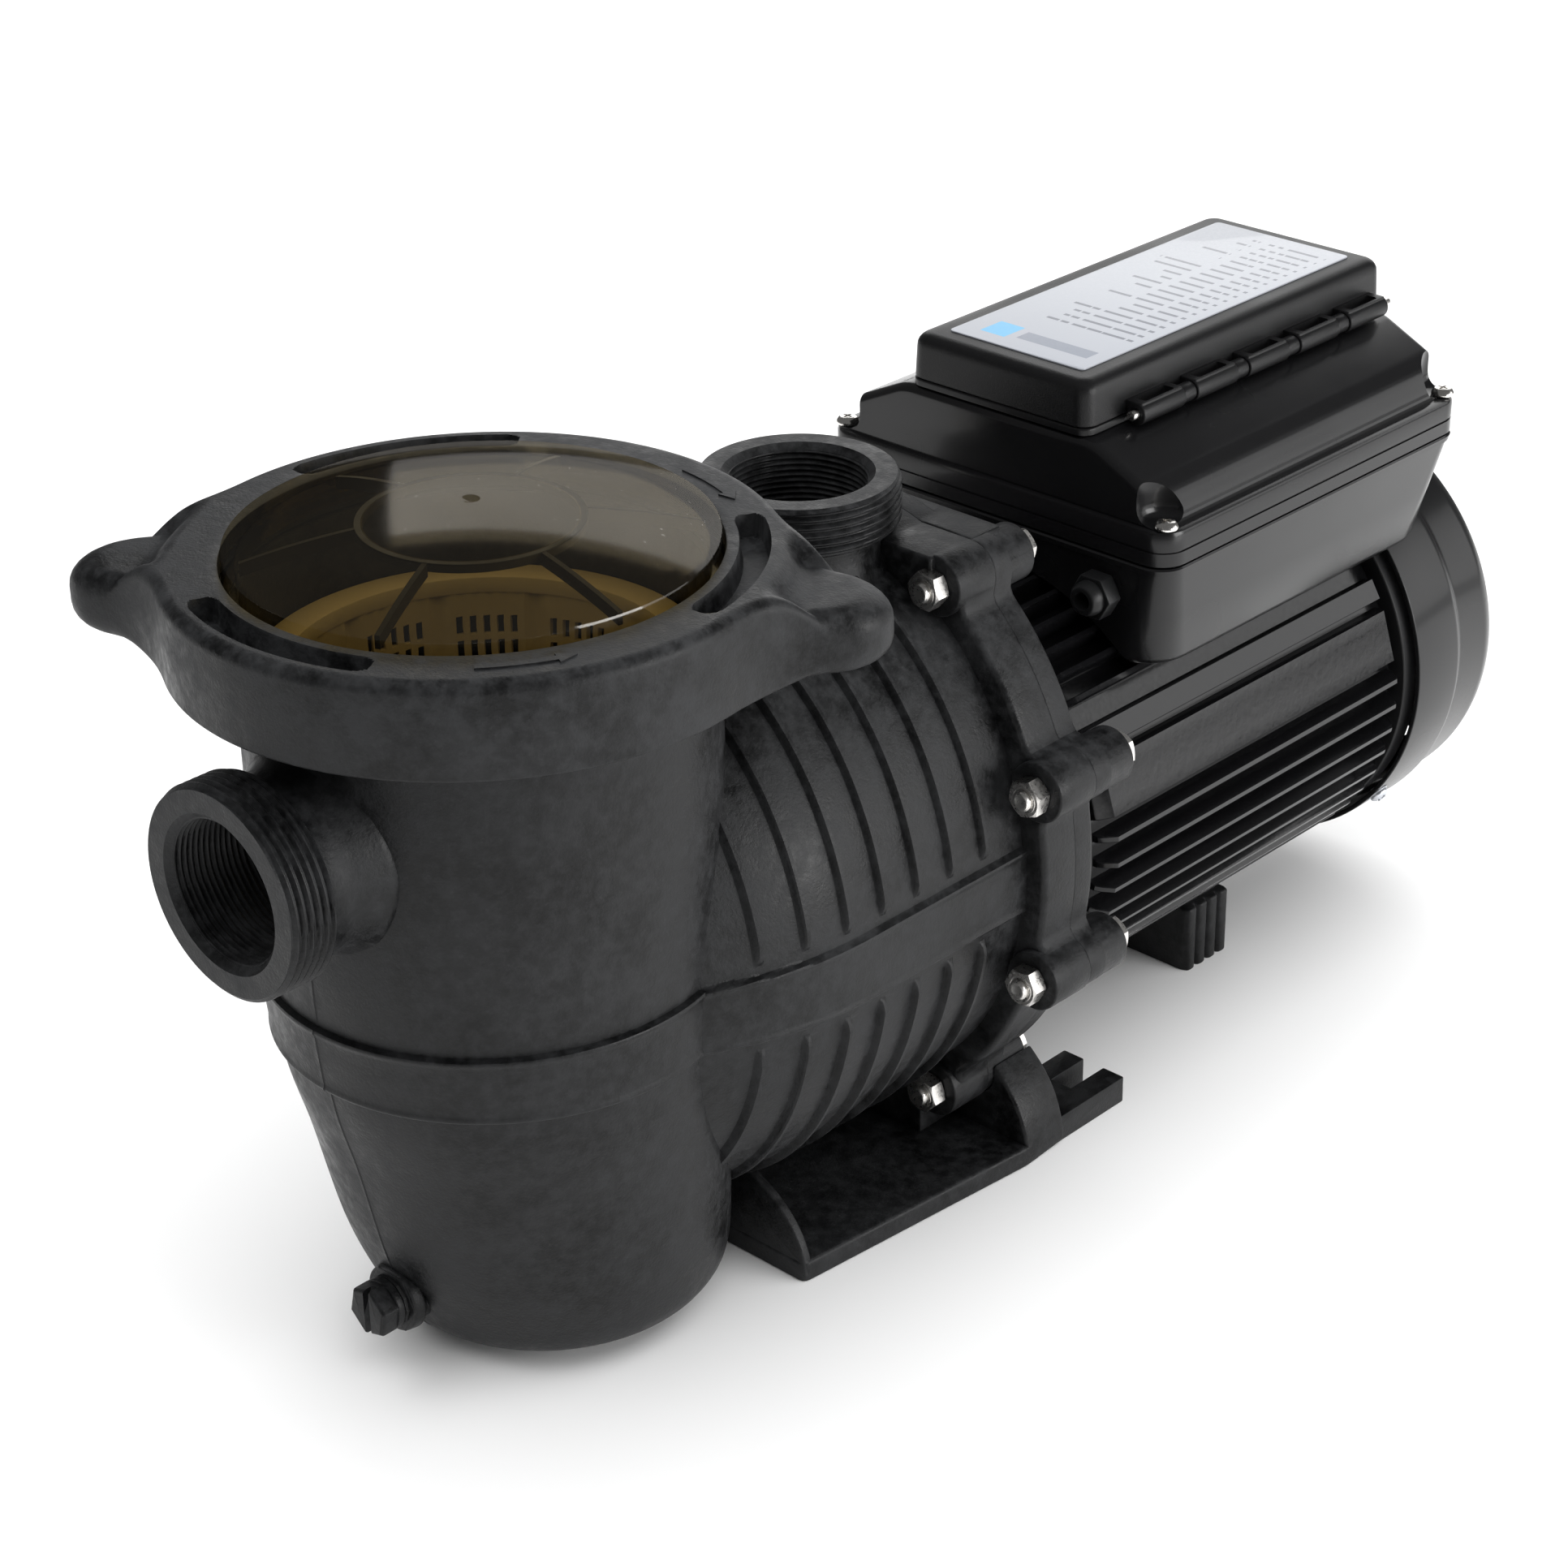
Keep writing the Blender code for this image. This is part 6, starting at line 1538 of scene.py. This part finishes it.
def hex_nut(place, back, high, turn):
    """Nut: a hexagon whose corners are cut back by a shallow cone at both faces."""
    corners = np.stack([np.cos(circle(6, turn)), np.sin(circle(6, turn))], axis=-1) * NUT_FLAT / math.sqrt(3)
    share = np.linspace(0.0, 1.0, 8, endpoint=False)[None, :, None]
    side = corners[:, None] * (1 - share) + np.roll(corners, -1, axis=0)[:, None] * share
    u, v = side.reshape(-1, 2).T
    radius = np.hypot(u, v)
    rows = []
    cone = NUT_FLAT / 2 - 0.15
    lift = np.clip((radius - cone) * 0.55, 0.0, 1.0)
    for y, way in ((back, -1.0), (back - high, 1.0)):
        face = np.minimum(1.0, cone / radius)
        ring = stand("Y", place[0] + u, place[1] + v, y + way * lift)
        flat_ring = stand("Y", place[0] + u * face, place[1] + v * face, np.full_like(u, y))
        rows += [flat_ring, ring] if way < 0 else [ring, flat_ring]
    return np.stack(rows)


class PUMP_OT_fasteners(bpy.types.Operator):
    """Builds the stainless flange bolts and nuts."""

    bl_idname = "pump.fasteners"
    bl_label = "Flange bolts and nuts"

    def execute(self, context):
        steel = bright_metal("stainless_bolt", context.scene.pump_colours.steel, 0.30)
        nuts, bolts = Skin(), Skin()
        seat, end, back = NUT_HIGH[1], BOLT_LOW[1], PLATE_HIGH[1]
        washer = soften([(4.2, seat - 6.7), (5.2, seat - 6.7), (5.2, seat - 6.2), (4.2, seat - 6.2)], 0.15,
                        2, closed=True)
        tip = soften([(0.0, end + 0.5), (2.2, end + 0.1), (3.3, end + 0.1), (3.7, end + 1.0),
                      (3.7, end + 1.6), (0.0, end + 1.6)], 0.3, 2)
        for place, turn in zip(BOSSES, NUT_TURNS):
            nuts.net(hex_nut(place, seat, 6.5, turn))
            nuts.net(lathe(washer, "Y", place, 32), loop=True)
            bolts.net(thread_net("Y", place, end + 0.8, end + 4.0, BOLT_R, 1.25, 0.5, 32, 0.2))
            bolts.net(lathe(tip, "Y", place, 32), caps=False)
            bolts.net(rod(3.5, end + 3.0, back + 1.0, "Y", place, 24))
            bolts.net(hex_nut(place, back + 5.8, 5.4, turn + 0.4))
        dress(nuts.piece("flange_nuts", 25.0), "pump", "stainless_steel", steel,
              *[f"flange_nut_{k}" for k in range(1, 9)])
        dress(bolts.piece("flange_bolts", 25.0), "pump", "stainless_steel", steel,
              *[f"flange_bolt_{k}" for k in range(1, 9)])
        return {"FINISHED"}


class PUMP_OT_gland(bpy.types.Operator):
    """Builds the cable gland in the tray's front wall."""

    bl_idname = "pump.gland"
    bl_label = "Cable gland"

    def execute(self, context):
        finish = moulded_plastic("gland_plastic", context.scene.pump_colours.moulding, 0.35, 0.2)
        x, _, z = middle("cable_gland")
        (_, low, _), (_, high, _) = span("cable_gland")
        front = TRAY_LOW[1] + 1.2
        gland = solid(slab(hexagon(16.0, 0.0) + np.array([x, z]), front - 9, front - 2, "Y", 0.5, 0.5),
                      "gland_skin")
        nose = soften([(0.0, front - 13.9), (5.4, front - 13.9), (6.8, front - 11), (6.8, front - 8),
                       (0.0, front - 8)], [0, 0.8, 1.5, 0, 0], 4)
        shank = solid(rod(6.0, front - 3, high - 0.1, "Y", (x, z), 40))
        fuse(gland, solid(lathe(nose, "Y", (x, z), 40)), shank)
        carve(gland, solid(rod(3.6, low - 5, high + 5, "Y", (x, z), 32)))
        dress(gland, "pump", "grey_plastic", finish, "cable_gland")
        return {"FINISHED"}


class PUMP_OT_inner_finishes(bpy.types.Operator):
    """Gives the frame's own inner pieces their finishes."""

    bl_idname = "pump.inner_finishes"
    bl_label = "Finishes of inner pieces"

    def execute(self, context):
        colours = context.scene.pump_colours
        rubber = plain_matt("seal_rubber_finish", colours.moulding, 0.78)
        grey = plain_matt("grey_moulding", colours.keys, 0.5)
        ceramic = plain_matt("seal_ceramic_finish", (0.80, 0.79, 0.75), 0.25)
        steel = bright_metal("ground_steel", colours.steel, 0.25, (1.0, 8.0, 1.0))
        core = dull_metal("lamination_finish", (0.30, 0.30, 0.31))
        board = board_lacquer("board_lacquer_finish", (0.02, 0.16, 0.06))
        chosen = {rubber: ("lid_seal", "housing_seal", "drain_plug_seal", "controller_gasket"),
                  grey: ("diffuser", "impeller", "cooling_fan"), ceramic: ("shaft_seal_seat",),
                  steel: ("shaft_seal_head", "motor_shaft", "front_bearing", "rear_bearing"),
                  core: ("rotor_core", "stator_core"), board: ("circuit_board",)}
        for finish, nodes in chosen.items():
            for node in nodes:
                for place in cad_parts[node].material_slots:
                    place.material = finish
        return {"FINISHED"}


# ---- floor, lights and camera ----------------------------------------------------------
CAMERA_PLACE = (0.78942, -0.82277, 0.74728)
CAMERA_YAW = math.radians(43.689)
CAMERA_PITCH = math.radians(27.330)
CAMERA_ROLL = math.radians(-0.918)
CAMERA_LENS = 81.13
CAMERA_SHIFT = (-0.0015, -0.0078)


def camera_turn():
    """Rotation whose rows are the camera's right, up and backward directions."""
    a, e, r = CAMERA_YAW, CAMERA_PITCH, CAMERA_ROLL
    back = np.array([math.sin(a) * math.cos(e), -math.cos(a) * math.cos(e), math.sin(e)])
    right = np.array([math.cos(a), math.sin(a), 0.0])
    up = np.cross(back, right)
    roll = np.array([[math.cos(r), math.sin(r), 0.0], [-math.sin(r), math.cos(r), 0.0], [0.0, 0.0, 1.0]])
    return roll @ np.stack([right, up, back])


def soft_box(name, place, aim, width, height, power, colour=(1.0, 1.0, 1.0)):
    """Rectangular area light that faces a point."""
    data = bpy.data.lights.new(name, "AREA")
    data.shape = "RECTANGLE"
    data.size, data.size_y = width, height
    data.energy = power
    data.color = colour
    lamp = bpy.data.objects.new(name, data)
    lamp.location = place
    way = Vector(place) - Vector(aim)
    lamp.rotation_euler = way.to_track_quat("Z", "Y").to_euler()
    bpy.context.scene.collection.objects.link(lamp)
    return lamp


class PUMP_OT_stage(bpy.types.Operator):
    """Builds the pale floor, the soft lights and the camera."""

    bl_idname = "pump.stage"
    bl_label = "Floor, lights and camera"

    def execute(self, context):
        scene = context.scene
        sizes = scene.pump_sizes
        paint = Paint("pale_floor")
        shade = paint.mix(paint.noise(3.0), (0.96, 0.96, 0.96, 1.0), (0.98, 0.98, 0.98, 1.0))
        paint.body(Base_Color=shade, Roughness=0.85, Specular_IOR_Level=0.1)
        half = sizes.floor_half
        mesh = bpy.data.meshes.new("floor")
        corners = [(-half, -half, 0), (half, -half, 0), (half, half, 0), (-half, half, 0)]
        mesh.from_pydata(corners, [], [(0, 1, 2, 3)])
        floor = bpy.data.objects.new("floor", mesh)
        mesh.materials.append(paint.done())
        scene.collection.objects.link(floor)
        world = bpy.data.worlds.new("studio")
        world.use_nodes = True
        backdrop = world.node_tree.nodes["Background"]
        backdrop.inputs["Color"].default_value = (1.0, 1.0, 1.0, 1.0)
        seen = world.node_tree.nodes.new("ShaderNodeLightPath")
        glow = world.node_tree.nodes.new("ShaderNodeMapRange")
        glow.inputs["To Min"].default_value = sizes.world_light
        world.node_tree.links.new(seen.outputs["Is Camera Ray"], glow.inputs["Value"])
        world.node_tree.links.new(glow.outputs["Result"], backdrop.inputs["Strength"])
        scene.world = world
        aim = (0.0, 0.05, 0.12)
        ceiling = soft_box("ceiling_box", (0.0, 0.0, 2.8), (0.0, 0.0, 0.0), 5.2, 5.2, sizes.key_light)
        ceiling.visible_glossy = False
        soft_box("right_box", (1.9, 2.0, 0.8), aim, 1.7, 1.3, sizes.side_light)
        soft_box("back_box", (-1.45, 2.25, 1.15), aim, 2.4, 1.8, sizes.back_light)
        soft_box("low_box", (2.3, 0.65, 0.6), aim, 1.4, 1.0, sizes.low_light)
        data = bpy.data.cameras.new("camera")
        data.lens = CAMERA_LENS
        data.sensor_width = 36.0
        data.shift_x, data.shift_y = CAMERA_SHIFT
        data.clip_start = 0.05
        camera = bpy.data.objects.new("camera", data)
        turn = Matrix(camera_turn().T.tolist()).to_4x4()
        camera.matrix_world = Matrix.Translation(CAMERA_PLACE) @ turn
        scene.collection.objects.link(camera)
        scene.camera = camera
        scene.view_settings.view_transform = "Standard"
        return {"FINISHED"}


# ---- settings, panel and start ---------------------------------------------------------
def power_setting(name, description, default):
    """Power of one light."""
    return FloatProperty(name=name, description=description, default=default, min=0.0, unit="POWER")


class PumpSizes(bpy.types.PropertyGroup):
    """Sizes and strengths that a user would change."""

    matt: FloatProperty(name="Matt", description="Roughness of the filled plastic", default=0.46,
                        min=0.05, max=1.0, subtype="FACTOR")
    floor_half: FloatProperty(name="Floor", description="Half the width of the floor", default=2.2,
                              unit="LENGTH")
    key_light: power_setting("Key light", "Power of the light overhead", 190.0)
    side_light: power_setting("Side light", "Power of the light on the right", 12.0)
    low_light: power_setting("Low light", "Power of the low light on the right", 36.0)
    back_light: power_setting("Back light", "Power of the light behind", 24.0)
    world_light: FloatProperty(name="Surround", description="Strength of the even light all round",
                               default=0.12, min=0.0)


def colour_setting(name, description, default):
    """Colour property with a picker."""
    return FloatVectorProperty(name=name, description=description, default=default, size=3, min=0.0,
                               max=1.0, subtype="COLOR")


class PumpColours(bpy.types.PropertyGroup):
    """Colours of the finishes."""

    moulding: colour_setting("Moulding", "Filled plastic of the wet end", (0.0072, 0.0074, 0.0078))
    satin: colour_setting("Satin plastic", "Plastic of the controller and fan cover",
                          (0.0052, 0.0052, 0.0056))
    paint: colour_setting("Paint", "Paint on the motor", (0.005, 0.005, 0.0055))
    window: colour_setting("Window", "Tint of the domed window", (0.72, 0.665, 0.53))
    basket: colour_setting("Basket", "Plastic of the strainer basket", (0.46, 0.40, 0.26))
    steel: colour_setting("Steel", "Stainless bolts and screws", (0.80, 0.78, 0.75))
    zinc: colour_setting("Zinc", "Zinc-plated screws", (0.66, 0.68, 0.72))
    label: colour_setting("Label", "Film of the label", (0.325, 0.34, 0.375))
    keys: colour_setting("Keys", "Keys and gland", (0.05, 0.05, 0.054))
    display: colour_setting("Display", "Dark glass of the display", (0.01, 0.016, 0.014))


OPERATORS = [PUMP_OT_housing, PUMP_OT_seal_plate, PUMP_OT_lock_ring, PUMP_OT_window, PUMP_OT_basket,
             PUMP_OT_drain_plug, PUMP_OT_motor, PUMP_OT_fan_cover, PUMP_OT_rear_foot, PUMP_OT_controller,
             PUMP_OT_control_lid, PUMP_OT_keypad, PUMP_OT_fasteners, PUMP_OT_gland, PUMP_OT_inner_finishes,
             PUMP_OT_stage]


class PUMP_PT_panel(bpy.types.Panel):
    """Lists every step in the sidebar."""

    bl_label = "Pool pump"
    bl_idname = "PUMP_PT_panel"
    bl_space_type = "VIEW_3D"
    bl_region_type = "UI"
    bl_category = "Pump"

    def draw(self, context):
        layout = self.layout
        for operator in OPERATORS:
            layout.operator(operator.bl_idname)
        for group in (context.scene.pump_sizes, context.scene.pump_colours):
            for name in group.__annotations__:
                layout.prop(group, name)


CLASSES = [PumpSizes, PumpColours, *OPERATORS, PUMP_PT_panel]


def register():
    """Registers the classes and the settings."""
    for item in CLASSES:
        bpy.utils.register_class(item)
    bpy.types.Scene.pump_sizes = PointerProperty(type=PumpSizes)
    bpy.types.Scene.pump_colours = PointerProperty(type=PumpColours)


def unregister():
    """Takes everything back out."""
    del bpy.types.Scene.pump_sizes
    del bpy.types.Scene.pump_colours
    for item in reversed(CLASSES):
        bpy.utils.unregister_class(item)


def main():
    """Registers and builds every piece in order."""
    register()
    for operator in OPERATORS:
        group, name = operator.bl_idname.split(".")
        getattr(getattr(bpy.ops, group), name)()


if __name__ == "__main__":
    main()
